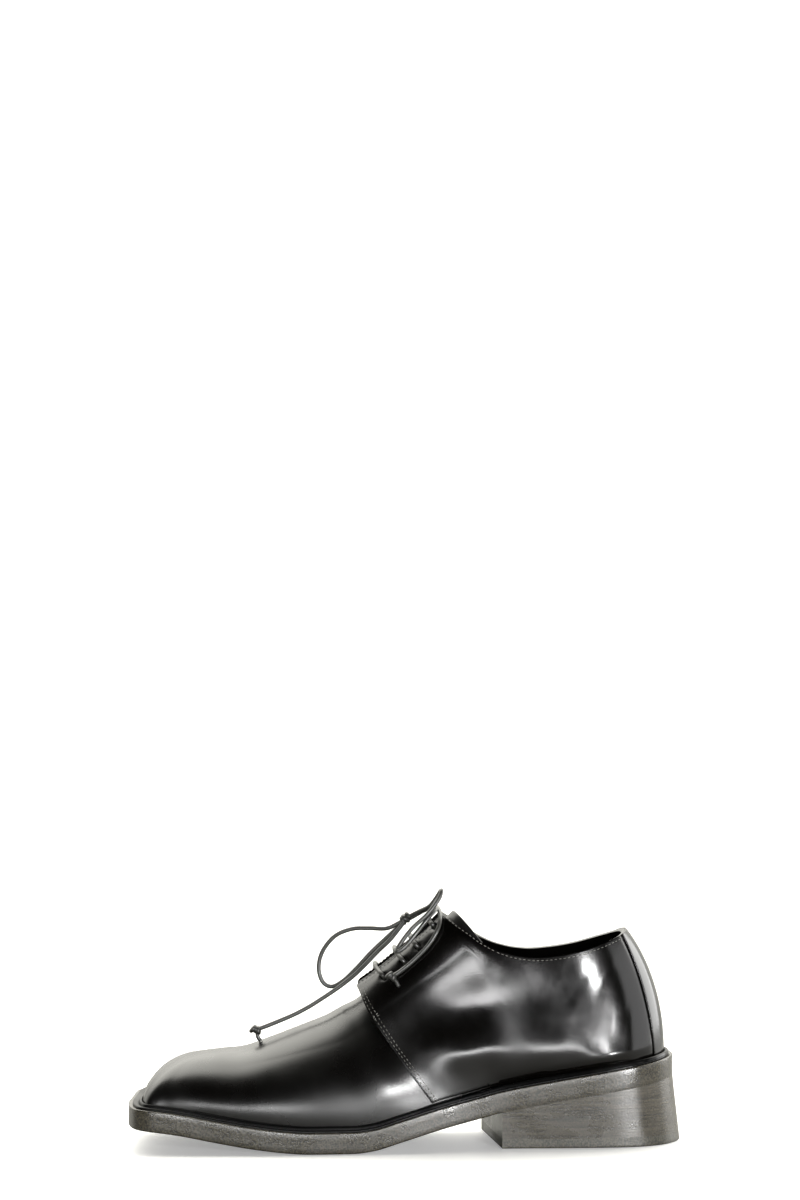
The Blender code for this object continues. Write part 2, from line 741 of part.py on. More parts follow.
def tongue():
    """Tongue on the last's face, from the vamp's hidden edge to its own arched top."""
    start = VAMP_END + 0.04
    places = stations(start, TONGUE_END)
    rows = 6
    rings = []
    for s in places:
        reach = TONGUE_HALF * (1 - 0.18 * ramp(s, TONGUE_END - 0.9, TONGUE_END))
        edges = []
        for side in (-1, 1):
            low, high = math.asin(TONGUE_RISE ** (section(s).square / 2)), math.pi / 2
            for _ in range(30):
                angle = (low + high) / 2
                if abs(last_point(s, side, angle).y - spine(s).y) < reach:
                    high = angle
                else:
                    low = angle
            edges.append(angle)
        outer, inner = [], []
        for side, edge in ((-1, edges[0]), (1, edges[1])):
            run = [edge + (math.pi / 2 - edge) * k / rows for k in range(rows + 1)]
            run = run if side < 0 else run[-2::-1]
            for a in run:
                aside = (math.pi / 2 - a) / (math.pi / 2 - edge)
                at = s + TONGUE_BEND * ramp(s, start, TONGUE_END) * aside**2
                outer.append(skin(at, side, a, 0.0))
                inner.append(skin(at, side, a, -TONGUE_THICKNESS))
        rings.append(outer + inner[::-1])
    loft("tongue", rings, "tongue_leather")


def insole():
    places = stations(0.0, LAST)

    def inset(s):
        return margin(s) + WALL + 2 * FIT

    rings = [
        plan_ring(places, inset, lambda x: sole_top(x) + FIT),
        plan_ring(places, inset, lambda x: sole_top(x) + FIT + INSOLE_THICKNESS),
    ]
    loft("insole", rings, "insole")


def tube(name, route, material, spacing=2.8, resolution=2):
    """Cord along a smooth curve through the route's points."""
    dense = [Vector(through(route, t)) for t in np.linspace(0, len(route) - 1, 400)]
    lengths = np.cumsum([0.0] + [(b - a).length for a, b in zip(dense, dense[1:])])
    count = max(4, round(lengths[-1] / (spacing * LACE_DIAMETER)) + 1)
    at = np.interp(np.linspace(0, lengths[-1], count), lengths, range(len(dense)))
    points = [dense[round(k)] for k in at]
    curve = bpy.data.curves.new(name, "CURVE")
    curve.dimensions = "3D"
    curve.bevel_depth = LACE_DIAMETER / 2
    curve.bevel_resolution = resolution
    curve.use_fill_caps = True
    line = curve.splines.new("POLY")
    line.points.add(len(points) - 1)
    for point, place in zip(line.points, points):
        point.co = (*place, 1.0)
    return new_object(name, curve, material)


def lace_bar(k):
    """Crossing from an eyelet over both facings to its partner."""
    radius = LACE_DIAMETER / 2
    sides = []
    for side in (-1, 1):
        s, angle = eyelet_place(k, side)
        rim = rim_angle(s, side)
        hole = skin(s, side, angle, quarter_lift(s, angle))
        out = facing_normal(s, side, angle)

        def over(share, lift):
            a = angle + (rim - angle) * share
            return skin(s, side, a, quarter_lift(s, a) + lift)

        run = [
            hole - out * QUARTER_STEP * 1.6,
            hole + out * radius * 1.1,
            over(0.30, radius + 2.5 * FIT),
            over(0.72, radius + 2.5 * FIT),
            over(1.0, radius + 2.5 * FIT),
        ]
        sides.append(run)
    low, high = sides
    middle = (low[-1] + high[-1]) / 2 - Vector((0, 0, LACE_SAG))
    route = [*low, middle, *high[::-1]]
    tube(f"lace_bar_{k + 1}", route, "lace", 1.7)


def cord(name, route):
    tube(name, [Vector(point) * MM for point in route], "lace")


def knot(name, centre, size, turn, wraps, tail=None):
    """Tight knot: a core with turns of the lace round it, and a tail where one shows."""
    radius = LACE_DIAMETER / 2
    bpy.ops.mesh.primitive_uv_sphere_add(
        segments=8, ring_count=6, radius=0.5, location=centre, rotation=turn
    )
    core = bpy.context.object
    core.name = name
    core.scale = size
    core.data.materials.append(bpy.data.materials["lace"])
    core.data.shade_smooth()
    for owner in list(core.users_collection):
        owner.objects.unlink(core)
    bpy.data.collections[COLLECTION].objects.link(core)
    axis = Euler(turn).to_matrix() @ Vector((0, 0, 1))
    for k, shift in enumerate(wraps):
        bpy.ops.mesh.primitive_torus_add(
            major_segments=8,
            minor_segments=6,
            major_radius=size[0] / 2 - radius * 0.6,
            minor_radius=radius,
            location=Vector(centre) + axis * shift,
            rotation=turn,
        )
        wrap = bpy.context.object
        wrap.name = f"{name}_wrap_{k + 1}"
        as_cutter(wrap)
        add_boolean(core, wrap, "UNION")
    if tail:
        reach = Vector(tail) - Vector(centre)
        bpy.ops.mesh.primitive_cylinder_add(
            vertices=8,
            radius=radius,
            depth=reach.length,
            location=Vector(centre) + reach / 2,
            rotation=reach.to_track_quat("Z", "Y").to_euler(),
        )
        stub = bpy.context.object
        stub.name = f"{name}_tail"
        as_cutter(stub)
        add_boolean(core, stub, "UNION")


def bow():
    cord("bow_loop_1", LOOP_FRONT)
    cord("bow_loop_2", LOOP_SIDE)
    cord("lace_end_1", END_FRONT)
    cord("lace_end_2", END_SIDE)
    wrap = LACE_DIAMETER / 2
    middle = Vector(KNOT) * MM
    knot("bow_knot", middle, KNOT_SIZE, KNOT_TURN, (-wrap * 0.8, wrap * 0.8))
    for name, place, tail in END_KNOTS:
        centre = Vector(place) * MM
        knot(name, centre, END_KNOT_SIZE, KNOT_TURN, (0.0,), centre + Vector(tail) * MM)


MATERIALS = {
    "upper_leather": ((0.012, 0.011, 0.010), 0.16, 0.0),
    "tongue_leather": ((0.02, 0.019, 0.018), 0.25, 0.0),
    "sole_leather": ((0.09, 0.085, 0.075), 0.45, 0.0),
    "welt": ((0.01, 0.01, 0.01), 0.3, 0.0),
    "heel_stack": ((0.11, 0.10, 0.085), 0.45, 0.0),
    "top_lift": ((0.07, 0.07, 0.06), 0.5, 0.0),
    "insole": ((0.05, 0.045, 0.04), 0.6, 0.0),
    "lace": ((0.06, 0.062, 0.058), 0.55, 0.0),
}


def make_materials():
    for name, (colour, roughness, metallic) in MATERIALS.items():
        material = bpy.data.materials.new(name)
        material.use_nodes = True
        shader = material.node_tree.nodes["Principled BSDF"]
        shader.inputs["Base Color"].default_value = (*colour, 1.0)
        shader.inputs["Roughness"].default_value = roughness
        shader.inputs["Metallic"].default_value = metallic


def clear_scene():
    for thing in list(bpy.data.objects):
        bpy.data.objects.remove(thing)


def make_collections():
    for name in (COLLECTION, "cutters"):
        collection = bpy.data.collections.new(name)
        bpy.context.scene.collection.children.link(collection)


def main():
    clear_scene()
    make_collections()
    make_materials()
    outsole()
    welt()
    heel()
    upper()
    back_strip()
    tongue()
    insole()
    for k in range(len(EYELETS)):
        lace_bar(k)
    bow()


main()
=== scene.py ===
import math

import bpy
import numpy as np
from mathutils import Euler, Matrix, Vector


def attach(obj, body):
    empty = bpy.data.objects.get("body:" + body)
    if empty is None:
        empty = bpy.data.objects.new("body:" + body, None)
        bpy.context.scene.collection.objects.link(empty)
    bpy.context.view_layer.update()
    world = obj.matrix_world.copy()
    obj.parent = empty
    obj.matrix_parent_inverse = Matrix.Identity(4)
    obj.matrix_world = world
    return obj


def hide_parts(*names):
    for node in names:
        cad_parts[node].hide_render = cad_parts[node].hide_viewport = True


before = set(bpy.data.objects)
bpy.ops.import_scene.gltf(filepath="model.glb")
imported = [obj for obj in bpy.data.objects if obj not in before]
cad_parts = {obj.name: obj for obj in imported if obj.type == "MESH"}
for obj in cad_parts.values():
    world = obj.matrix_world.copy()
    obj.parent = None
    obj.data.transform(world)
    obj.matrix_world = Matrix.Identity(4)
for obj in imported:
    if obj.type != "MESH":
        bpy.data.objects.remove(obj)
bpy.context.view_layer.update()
mm = 0.001

# Sizes of the shoe, as the CAD part has them, in metres
shoe = {
    "length": 278.5 * mm,
    "ballWidth": 95.0 * mm,
    "heelWidth": 63.0 * mm,
    "toeHeight": 45.8 * mm,
    "instepHeight": 115.4 * mm,
    "backHeight": 106.2 * mm,
    "toeSpring": 11.7 * mm,
    "heelRise": 33.0 * mm,
    "soleThickness": 10.3 * mm,
    "topLift": 4.8 * mm,
    "heelFlare": 3.7 * mm,
    "fit": 0.3 * mm,
    "toeMargin": 7.4 * mm,
    "sideMargin": 6.4 * mm,
    "heelMargin": 6.3 * mm,
    "breastLateral": 0.676,
    "breastMedial": 0.655,
    "ridgeRound": 0.5,
}

# A row for each section of the last, from the toe's middle round to the heel's middle
sectionColumns = (
    "latAlong latAcross medAlong medAcross heel spine off toe rise square swell lean"
).split()
sectionRows = [
    (0.004, -0.008, 0.004, -0.008, 0.00, 0.161, 0.003, 1.0, 0.000, 2.05, 0.5, 0),
    (0.000, -0.134, 0.007, 0.118, 0.00, 0.161, 0.003, 1.0, 0.000, 2.04, 0.5, 0),
    (0.001, -0.260, 0.011, 0.244, 0.00, 0.161, 0.003, 1.0, 0.000, 1.98, 0.5, 0),
    (0.006, -0.337, 0.016, 0.316, 0.00, 0.161, 0.003, 1.0, 0.000, 1.86, 0.6, 0),
    (0.015, -0.388, 0.025, 0.366, 0.00, 0.161, 0.003, 1.0, 0.000, 1.80, 0.6, 0),
    (0.034, -0.416, 0.041, 0.393, 0.00, 0.162, 0.003, 1.0, 0.000, 1.86, 0.7, 0),
    (0.070, -0.430, 0.075, 0.411, 0.00, 0.166, 0.005, 1.0, 0.000, 2.00, 0.9, 0),
    (0.128, -0.446, 0.129, 0.440, 0.00, 0.183, 0.013, 1.0, 0.004, 2.12, 1.2, 0),
    (0.186, -0.468, 0.186, 0.470, 0.00, 0.216, 0.024, 0.8, 0.090, 2.18, 1.5, 0),
    (0.245, -0.488, 0.245, 0.493, 0.00, 0.256, 0.034, 0.5, 0.243, 2.20, 1.8, 0),
    (0.303, -0.499, 0.303, 0.500, 0.00, 0.296, 0.034, 0.2, 0.400, 2.15, 1.9, 0),
    (0.361, -0.498, 0.361, 0.488, 0.00, 0.332, 0.029, 0.0, 0.514, 2.10, 1.9, 0.3),
    (0.427, -0.484, 0.427, 0.451, 0.00, 0.363, 0.024, 0.0, 0.545, 2.05, 1.8, 0.6),
    (0.492, -0.500, 0.492, 0.425, 0.25, 0.390, 0.020, 0.0, 0.582, 2.12, 1.7, 0.9),
    (0.561, -0.500, 0.561, 0.395, 0.50, 0.416, 0.016, 0.0, 0.613, 2.12, 1.7, 1),
    (0.601, -0.511, 0.601, 0.397, 0.70, 0.445, 0.003, 0.0, 0.670, 2.12, 1.8, 1),
    (0.641, -0.521, 0.641, 0.408, 0.85, 0.476, -0.008, 0.0, 0.737, 2.12, 1.9, 1),
    (0.681, -0.542, 0.681, 0.433, 1.00, 0.510, -0.020, 0.0, 0.810, 2.12, 2.0, 1),
    (0.725, -0.542, 0.725, 0.437, 1.00, 0.547, -0.028, 0.0, 0.888, 2.12, 2.2, 1),
    (0.769, -0.547, 0.769, 0.447, 1.00, 0.587, -0.036, 0.0, 0.985, 2.12, 2.3, 1),
    (0.812, -0.548, 0.812, 0.450, 1.00, 0.638, -0.044, 0.0, 1.109, 2.00, 2.4, 1),
    (0.856, -0.544, 0.856, 0.445, 1.00, 0.689, -0.048, 0.0, 1.213, 2.00, 2.3, 0.9),
    (0.896, -0.526, 0.896, 0.429, 1.00, 0.732, -0.048, 0.0, 1.282, 2.00, 2.0, 0.75),
    (0.932, -0.485, 0.932, 0.391, 1.00, 0.761, -0.048, 0.0, 1.256, 2.00, 1.6, 0.5),
    (0.963, -0.402, 0.963, 0.312, 1.00, 0.776, -0.048, 0.0, 1.187, 2.00, 1.1, 0.25),
    (0.986, -0.275, 0.986, 0.188, 1.00, 0.780, -0.048, 0.0, 1.118, 2.00, 0.6, 0.08),
    (0.997, -0.147, 0.997, 0.052, 1.00, 0.780, -0.048, 0.0, 1.088, 2.00, 0.3, 0),
    (1.000, -0.048, 1.000, -0.048, 1.00, 0.780, -0.048, 0.0, 1.083, 2.00, 0.3, 0),
]
sectionTable = np.array(sectionRows, float)
last = len(sectionRows) - 1

# Underside of the outsole: along, share of toe spring, share of heel rise
floorRows = [
    (0.000, 1.00, 0.000),
    (0.085, 0.77, 0.000),
    (0.154, 0.48, 0.000),
    (0.223, 0.215, 0.000),
    (0.292, 0.04, 0.000),
    (0.325, 0.00, 0.000),
    (0.405, 0.00, 0.000),
    (0.440, 0.00, 0.030),
    (0.489, 0.00, 0.140),
    (0.558, 0.00, 0.300),
    (0.638, 0.00, 0.460),
    (0.676, 0.00, 0.540),
    (1.000, 0.00, 1.000),
]

# The collar's edge: along, share of the back height at the lateral and the medial side
collarRows = [
    (0.545, 1.150, 1.150),
    (0.572, 1.083, 1.083),
    (0.592, 1.044, 1.048),
    (0.608, 1.017, 1.022),
    (0.643, 0.955, 0.960),
    (0.678, 0.913, 0.917),
    (0.714, 0.891, 0.894),
    (0.740, 0.886, 0.888),
    (0.787, 0.896, 0.898),
    (0.823, 0.915, 0.914),
    (0.860, 0.944, 0.942),
    (0.898, 0.980, 0.978),
    (0.914, 1.000, 1.000),
    (1.000, 1.090, 1.090),
]

vampSettings = {
    "wall": 2.0 * mm,
    "end": 15.3,
    "columns": 190,
    "rows": 150,
    # where the mesh is relaxed: round the toe's top, and less along the ridge
    "softMiddle": 0.13,
    "softReach": (22 * mm, 42 * mm),
    "ridgeReach": (4 * mm, 14 * mm),
    "ridgeShare": 0.8,
    "softTurns": 40,
}
quarterSettings = {
    "seam": 14.0,
    "bend": 0.5,
    "step": 1.1 * mm,
    "wall": 2.4 * mm,
    "facingRise": 6.6 * mm,
    "riseFrom": (0.46, 0.98),
    "riseEnd": (19.0, 22.0),
    "throatHalf": 6.5 * mm,
    "throatOpen": 3.5 * mm,
    "throatEnd": 21.0,
    "cornerRound": 3.2 * mm,
    "roll": -0.9 * mm,
    "rollWidth": 14.0 * mm,
    "rollFrom": (14.0, 15.4),
    "rollEnd": (18.6, 20.2),
    "edgeRound": 0.35 * mm,
    "columns": 330,
    "rows": 84,
}
stripSettings = {
    "thickness": 0.9 * mm,
    "half": 15.5 * mm,
    "foot": 0.012,
    "edgeRound": 0.3 * mm,
}
tongueSettings = {
    "start": 15.34,
    "end": 19.15,
    "bend": 0.25,
    "half": 21.0 * mm,
    "rise": 0.72,
    "taper": 0.18,
    "taperLength": 0.9,
    "thickness": 2.0 * mm,
    "edgeRound": 0.5 * mm,
}
weltSettings = {
    "strip": 1.2 * mm,
    "bead": 2.6 * mm,
    "beadWidth": 1.9 * mm,
    "reveal": 2.2 * mm,
    "columns": 720,
}
insoleThickness = 2.6 * mm
soleSizes = {
    "edgeRound": 0.9 * mm,
    "topRound": 0.45 * mm,
    "liftRound": 0.5 * mm,
    "columns": 260,
    "heelColumns": 200,
    # stations over which the edge turns sharp, and by which share
    "sharpFrom": (16.4, 17.2),
    "sharpShare": 0.85,
}
eyeletSettings = {
    "radius": 1.6 * mm,
    "places": ((15.75, 16.0 * mm), (16.78, 16.2 * mm), (17.55, 14.6 * mm), (18.48, 12.4 * mm)),
    "dimple": 0.45 * mm,
    "dimpleWidth": 2.6 * mm,
    "cutDepth": 8 * mm,
}


def lengthAt(share):
    return -shoe["length"] / 2 + share * (shoe["length"] - shoe["heelFlare"])


def shareAt(x):
    return (x + shoe["length"] / 2) / (shoe["length"] - shoe["heelFlare"])


def through(table, t):
    # smooth curve through the rows of a table, t counts the rows
    t = np.clip(np.asarray(t, float), 0, len(table) - 1)
    i = np.minimum(t.astype(int), len(table) - 2)
    f = (t - i)[..., None]
    a = table[i]
    b = table[i + 1]
    before = np.where((i > 0)[..., None], table[np.maximum(i - 1, 0)], 2 * a - b)
    beyond = (i + 2 < len(table))[..., None]
    after = np.where(beyond, table[np.minimum(i + 2, len(table) - 1)], 2 * b - a)
    return (
        a
        + f * (b - before) / 2
        + f * f * (before - 2.5 * a + 2 * b - after / 2)
        + f**3 * (1.5 * (a - b) + (after - before) / 2)
    )


def eased(x, xs, ys):
    # smooth line through points that rise in x, with no overshoot
    xs = np.asarray(xs, float)
    ys = np.asarray(ys, float)
    x = np.clip(x, xs[0], xs[-1])
    i = np.clip(np.searchsorted(xs, x) - 1, 0, len(xs) - 2)
    slopes = np.diff(ys) / np.diff(xs)
    bends = np.zeros(len(xs))
    bends[0] = slopes[0]
    bends[-1] = slopes[-1]
    for k in range(1, len(xs) - 1):
        if slopes[k - 1] * slopes[k] > 0:
            bends[k] = 2 * slopes[k - 1] * slopes[k] / (slopes[k - 1] + slopes[k])
    h = xs[i + 1] - xs[i]
    f = (x - xs[i]) / h
    return (
        ys[i] * (1 + 2 * f) * (1 - f) ** 2
        + ys[i + 1] * f * f * (3 - 2 * f)
        + h * bends[i] * f * (1 - f) ** 2
        - h * bends[i + 1] * f * f * (1 - f)
    )


def ramp(x, low, high):
    f = np.clip((x - low) / (high - low), 0, 1)
    return f * f * (3 - 2 * f)


def softRamp(x, low, high):
    # as ramp, with no kink that polished leather would show
    f = np.clip((x - low) / (high - low), 0, 1)
    return f**3 * (6 * f * f - 15 * f + 10)


def rowAt(s):
    return dict(zip(sectionColumns, np.moveaxis(through(sectionTable, s), -1, 0)))


def underside(x):
    along, spring, rise = zip(*floorRows)
    share = shareAt(x)
    line = eased(share, along, spring) * shoe["toeSpring"]
    return np.maximum(0, line + eased(share, along, rise) * shoe["heelRise"])


def soleTop(x):
    return underside(x) + shoe["soleThickness"]


def roundEnd(s, side):
    turned = (s < 0) | (s > last)
    place = np.where(s < 0, -s, np.where(s > last, 2 * last - s, s))
    return place, np.where(turned, -side, side)


def soleEdge(s, side):
    s, side = roundEnd(s, side)
    row = rowAt(s)
    width = shoe["ballWidth"] * (1 - row["heel"]) + shoe["heelWidth"] * row["heel"]
    along = np.where(side < 0, row["latAlong"], row["medAlong"])
    across = np.where(side < 0, row["latAcross"], row["medAcross"])
    return np.stack([lengthAt(along), across * width], -1)


def sideOf(along):
    return np.where(along < 0, -1.0, 1.0)


def unit(v):
    return v / np.maximum(np.linalg.norm(v, axis=-1, keepdims=True), 1e-12)


def outward(s, side):
    step = 0.12
    along = soleEdge(s + step, side) - soleEdge(s - step, side)
    return unit(np.stack([-along[..., 1], along[..., 0]], -1)) * np.asarray(side)[..., None]


def insetEdge(s, side, inset):
    # moves towards the ridge round the toe, so that the corners keep their round
    edge = soleEdge(s, side)
    inward = -outward(s, side)
    row = rowAt(s)
    top = np.stack([lengthAt(row["spine"]), row["off"] * shoe["ballWidth"]], -1)
    mix = (1 - ramp(s, 4.5, 9.0))[..., None]
    way = unit(inward * (1 - mix) + unit(top - edge) * mix)
    reach = np.maximum((way * inward).sum(-1), 0.7)
    return edge + way * (inset / reach)[..., None]


def margin(s):
    toe = 1 - ramp(s, 3.5, 7.5)
    heel = ramp(s, 12.0, 24.0)
    side = shoe["sideMargin"] * (1 - toe) * (1 - heel)
    return shoe["toeMargin"] * toe + shoe["heelMargin"] * heel + side


def spine(s):
    row = rowAt(s)
    width = shoe["ballWidth"] * (1 - row["heel"]) + shoe["heelWidth"] * row["heel"]
    height = row["toe"] * shoe["toeHeight"] + row["rise"] * shoe["instepHeight"]
    return np.stack([lengthAt(row["spine"]), row["off"] * width, height], -1)


def lastPoint(s, side, angle):
    # angle 0 is at the welt, 90 degrees on the ridge
    s, side = roundEnd(np.asarray(s, float), np.asarray(side, float))
    row = rowAt(s)
    foot = insetEdge(s, side, margin(s))
    top = spine(s)
    bottom = soleTop(foot[..., 0]) + shoe["fit"]
    left = np.maximum(np.cos(angle), 0) ** (2 / row["square"])
    run = 1 - left
    rise = np.maximum(np.sin(angle), 0) ** (2 / row["square"])
    # both halves meet square to the ridge, so that it stays round
    near = np.minimum(left / shoe["ridgeRound"], 1)
    leftX = np.where(near < 1, shoe["ridgeRound"] * near**2 * (2 - near), left)
    runX = (1 - leftX) * (1 - row["lean"]) + rise * row["lean"]
    swell = row["swell"] * mm * np.sin(math.pi * np.minimum(rise / 0.8, 1))
    out = outward(s, side) * swell[..., None]
    x = foot[..., 0] + (top[..., 0] - foot[..., 0]) * runX + out[..., 0]
    y = foot[..., 1] + (top[..., 1] - foot[..., 1]) * run + out[..., 1]
    return np.stack([x, y, bottom + (top[..., 2] - bottom) * rise], -1)


def faceNormal(s, side, angle):
    stepS = 0.15
    stepA = 0.03
    low = np.maximum(angle - stepA, 0)
    high = np.minimum(angle + stepA, math.pi / 2)
    along = lastPoint(s + stepS, side, angle) - lastPoint(s - stepS, side, angle)
    up = lastPoint(s, side, high) - lastPoint(s, side, low)
    normal = unit(np.cross(up, along) * np.asarray(side, float)[..., None])
    slope = spine(np.minimum(s + stepS, last)) - spine(np.maximum(s - stepS, 0))
    ridge = np.stack([-slope[..., 2], 0 * slope[..., 0], np.abs(slope[..., 0]) + 1e-9], -1)
    onRidge = (angle >= math.pi / 2 - 1e-6)[..., None]
    return np.where(onRidge, unit(ridge), normal)


def quarterLift(s, angle):
    rise = np.sin(angle) ** (2 / rowAt(s)["square"])
    free = softRamp(rise, *quarterSettings["riseFrom"])
    free = free * (1 - softRamp(s, *quarterSettings["riseEnd"]))
    return quarterSettings["step"] + quarterSettings["facingRise"] * free


def skin(s, side, angle, lift):
    values = (np.asarray(v, float) for v in (s, side, angle, lift))
    s, side, angle, lift = np.broadcast_arrays(*values)
    return lastPoint(s, side, angle) + faceNormal(s, side, angle) * lift[..., None]


def quarterSkin(s, side, angle, lift=0.0):
    return skin(s, side, angle, quarterLift(s, angle) + lift)


def quarterNormal(s, side, angle):
    along = quarterSkin(s + 0.1, side, angle) - quarterSkin(s - 0.1, side, angle)
    up = quarterSkin(s, side, angle + 0.02) - quarterSkin(s, side, angle - 0.02)
    return unit(np.cross(up, along) * np.asarray(side, float)[..., None])


def throatHalf(s):
    corner = np.maximum(0, 1 - (s - quarterSettings["seam"]) / 0.5)
    opening = quarterSettings["throatOpen"] * ramp(s, quarterSettings["seam"], 19.0)
    return quarterSettings["throatHalf"] + opening + quarterSettings["cornerRound"] * corner**2


def halved(test, low, high, shape):
    low = np.full(shape, low, float)
    high = np.full(shape, high, float)
    for _ in range(24):
        middle = (low + high) / 2
        past = test(middle)
        high = np.where(past, middle, high)
        low = np.where(past, low, middle)
    return (low + high) / 2


def rimAngle(s, side):
    # where the quarter ends: at the facing's edge or at the collar
    along, lateral, medial = zip(*collarRows)

    def past(angle):
        point = quarterSkin(s, side, angle)
        share = shareAt(point[..., 0])
        lateralEdge = eased(share, along, lateral)
        medialEdge = eased(share, along, medial)
        edge = shoe["backHeight"] * np.where(side < 0, lateralEdge, medialEdge)
        overCollar = (share > along[0]) & (point[..., 2] > edge)
        overThroat = np.abs(point[..., 1] - spine(s)[..., 1]) < throatHalf(s)
        return overCollar | (overThroat & (s < quarterSettings["throatEnd"]))

    return halved(past, 0.2, math.pi / 2, np.shape(s))


def eyeletPlace(k, side):
    s, inset = eyeletSettings["places"][k]
    s = np.array(s)
    side = np.array(side)

    def past(angle):
        return np.abs(quarterSkin(s, side, angle)[..., 1] - spine(s)[..., 1]) < inset

    return s, halved(past, 0.3, math.pi / 2, ())


# Materials
leatherSettings = {
    "colour": (0.0013, 0.0011, 0.0009),
    "roughness": (0.11, 0.21),
    "toeRoughness": 0.13,
    "patch": 34,
    "grain": 1250,
    "grainDepth": 0.2,
    "fold": 240,
    "foldDepth": 0.03,
    "specular": 0.5,
}
tongueLeather = dict(leatherSettings, colour=(0.006, 0.0055, 0.005), roughness=(0.26, 0.4))
weltLeather = dict(
    leatherSettings,
    colour=(0.002, 0.002, 0.002),
    roughness=(0.2, 0.3),
    grainDepth=0.05,
    specular=0.18,
)
soleSettings = {
    "colour": (0.034, 0.0295, 0.0195),
    "roughness": (0.22, 0.34),
    "patch": 60,
    "grain": 1100,
    "grainDepth": 0.4,
    "fold": 300,
    "foldDepth": 0.08,
    "specular": 0.7,
    "contrast": 0.75,
    "streak": (45, 45, 1100),
    "streakShare": 0.0,
}
heelSettings = dict(
    soleSettings,
    colour=(0.036, 0.0305, 0.02),
    roughness=(0.21, 0.33),
    grainDepth=0.35,
    specular=0.75,
    streakShare=0.6,
)
liftSettings = dict(
    soleSettings, colour=(0.038, 0.035, 0.023), roughness=(0.3, 0.45), grainDepth=0.15
)
insoleSettings = dict(
    soleSettings, colour=(0.02, 0.018, 0.016), roughness=(0.5, 0.7), grainDepth=0.1
)
threadSettings = dict(
    leatherSettings, colour=(0.13, 0.128, 0.115), roughness=(0.35, 0.5), grainDepth=0.1
)
laceSettings = {
    "colour": (0.014, 0.0145, 0.012),
    "roughness": (0.3, 0.45),
    "patch": 400,
    "grain": 3000,
    "grainDepth": 0.25,
    "fold": 900,
    "foldDepth": 0.1,
    "specular": 1.0,
}


def setInputs(tree, node, inputs):
    # sockets are linked, and plain values are set
    for name, value in inputs.items():
        if isinstance(value, bpy.types.NodeSocket):
            tree.links.new(value, node.inputs[name])
        else:
            node.inputs[name].default_value = value


def addNode(tree, kind, inputs=None, **options):
    node = tree.nodes.new("ShaderNode" + kind)
    for option, value in options.items():
        setattr(node, option, value)
    setInputs(tree, node, inputs or {})
    return node.outputs


def makeMaterial(name, settings):
    material = bpy.data.materials.new(name)
    material.use_nodes = True
    tree = material.node_tree
    place = addNode(tree, "TexCoord")["Object"]

    def noise(scale, detail, source=place):
        inputs = {"Vector": source, "Scale": scale, "Detail": detail}
        return addNode(tree, "TexNoise", inputs)["Fac"]

    def ranged(source, low, high, newLow, newHigh):
        return addNode(tree, "MapRange", {0: source, 1: low, 2: high, 3: newLow, 4: newHigh})[0]

    roughness = ranged(noise(settings["patch"], 5), 0.35, 0.65, *settings["roughness"])
    if "toeRoughness" in settings:
        # the toe is scuffed a little more
        along = addNode(tree, "SeparateXYZ", {0: place})["X"]
        more = ranged(along, 0.03, -0.03, 0, settings["toeRoughness"])
        roughness = addNode(tree, "Math", {0: roughness, 1: more}, operation="ADD")[0]
    source = noise(settings["grain"], 2)
    if "streak" in settings:
        stretched = addNode(tree, "Mapping", {"Vector": place, "Scale": settings["streak"]})
        streaks = noise(1.0, 6, stretched["Vector"])
        source = addNode(tree, "Mix", {0: settings["streakShare"], 2: source, 3: streaks})[0]
    contrast = settings.get("contrast", 0.25)
    dark, light = ((*((1 + way * contrast) * c for c in settings["colour"]), 1) for way in (-1, 1))
    mixed = {0: ranged(source, 0.36, 0.64, 0, 1), 6: dark, 7: light}
    reliefs = [
        (noise(settings["fold"], 3), settings["foldDepth"], 0.4 * mm),
        (noise(settings["grain"], 3), settings["grainDepth"], 0.1 * mm),
    ]
    if "streak" in settings:
        reliefs.append((source, 0.3, 0.12 * mm))
    normal = {}
    for height, depth, distance in reliefs:
        inputs = {"Strength": depth, "Distance": distance, "Height": height, **normal}
        normal = {"Normal": addNode(tree, "Bump", inputs)["Normal"]}
    looks = {
        "Metallic": 0.0,
        "Specular IOR Level": settings["specular"],
        "Roughness": roughness,
        "Base Color": addNode(tree, "Mix", mixed, data_type="RGBA")[2],
        **normal,
    }
    setInputs(tree, tree.nodes["Principled BSDF"], looks)
    return material


materials = {
    "upper_leather": makeMaterial("upper_leather_look", leatherSettings),
    "tongue_leather": makeMaterial("tongue_leather_look", tongueLeather),
    "sole_leather": makeMaterial("sole_leather_look", soleSettings),
    "welt": makeMaterial("welt_look", weltLeather),
    "heel_stack": makeMaterial("heel_stack_look", heelSettings),
    "top_lift": makeMaterial("top_lift_look", liftSettings),
    "insole": makeMaterial("insole_look", insoleSettings),
    "lace": makeMaterial("lace_look", laceSettings),
    "thread": makeMaterial("thread_look", threadSettings),
}
print("materials made")


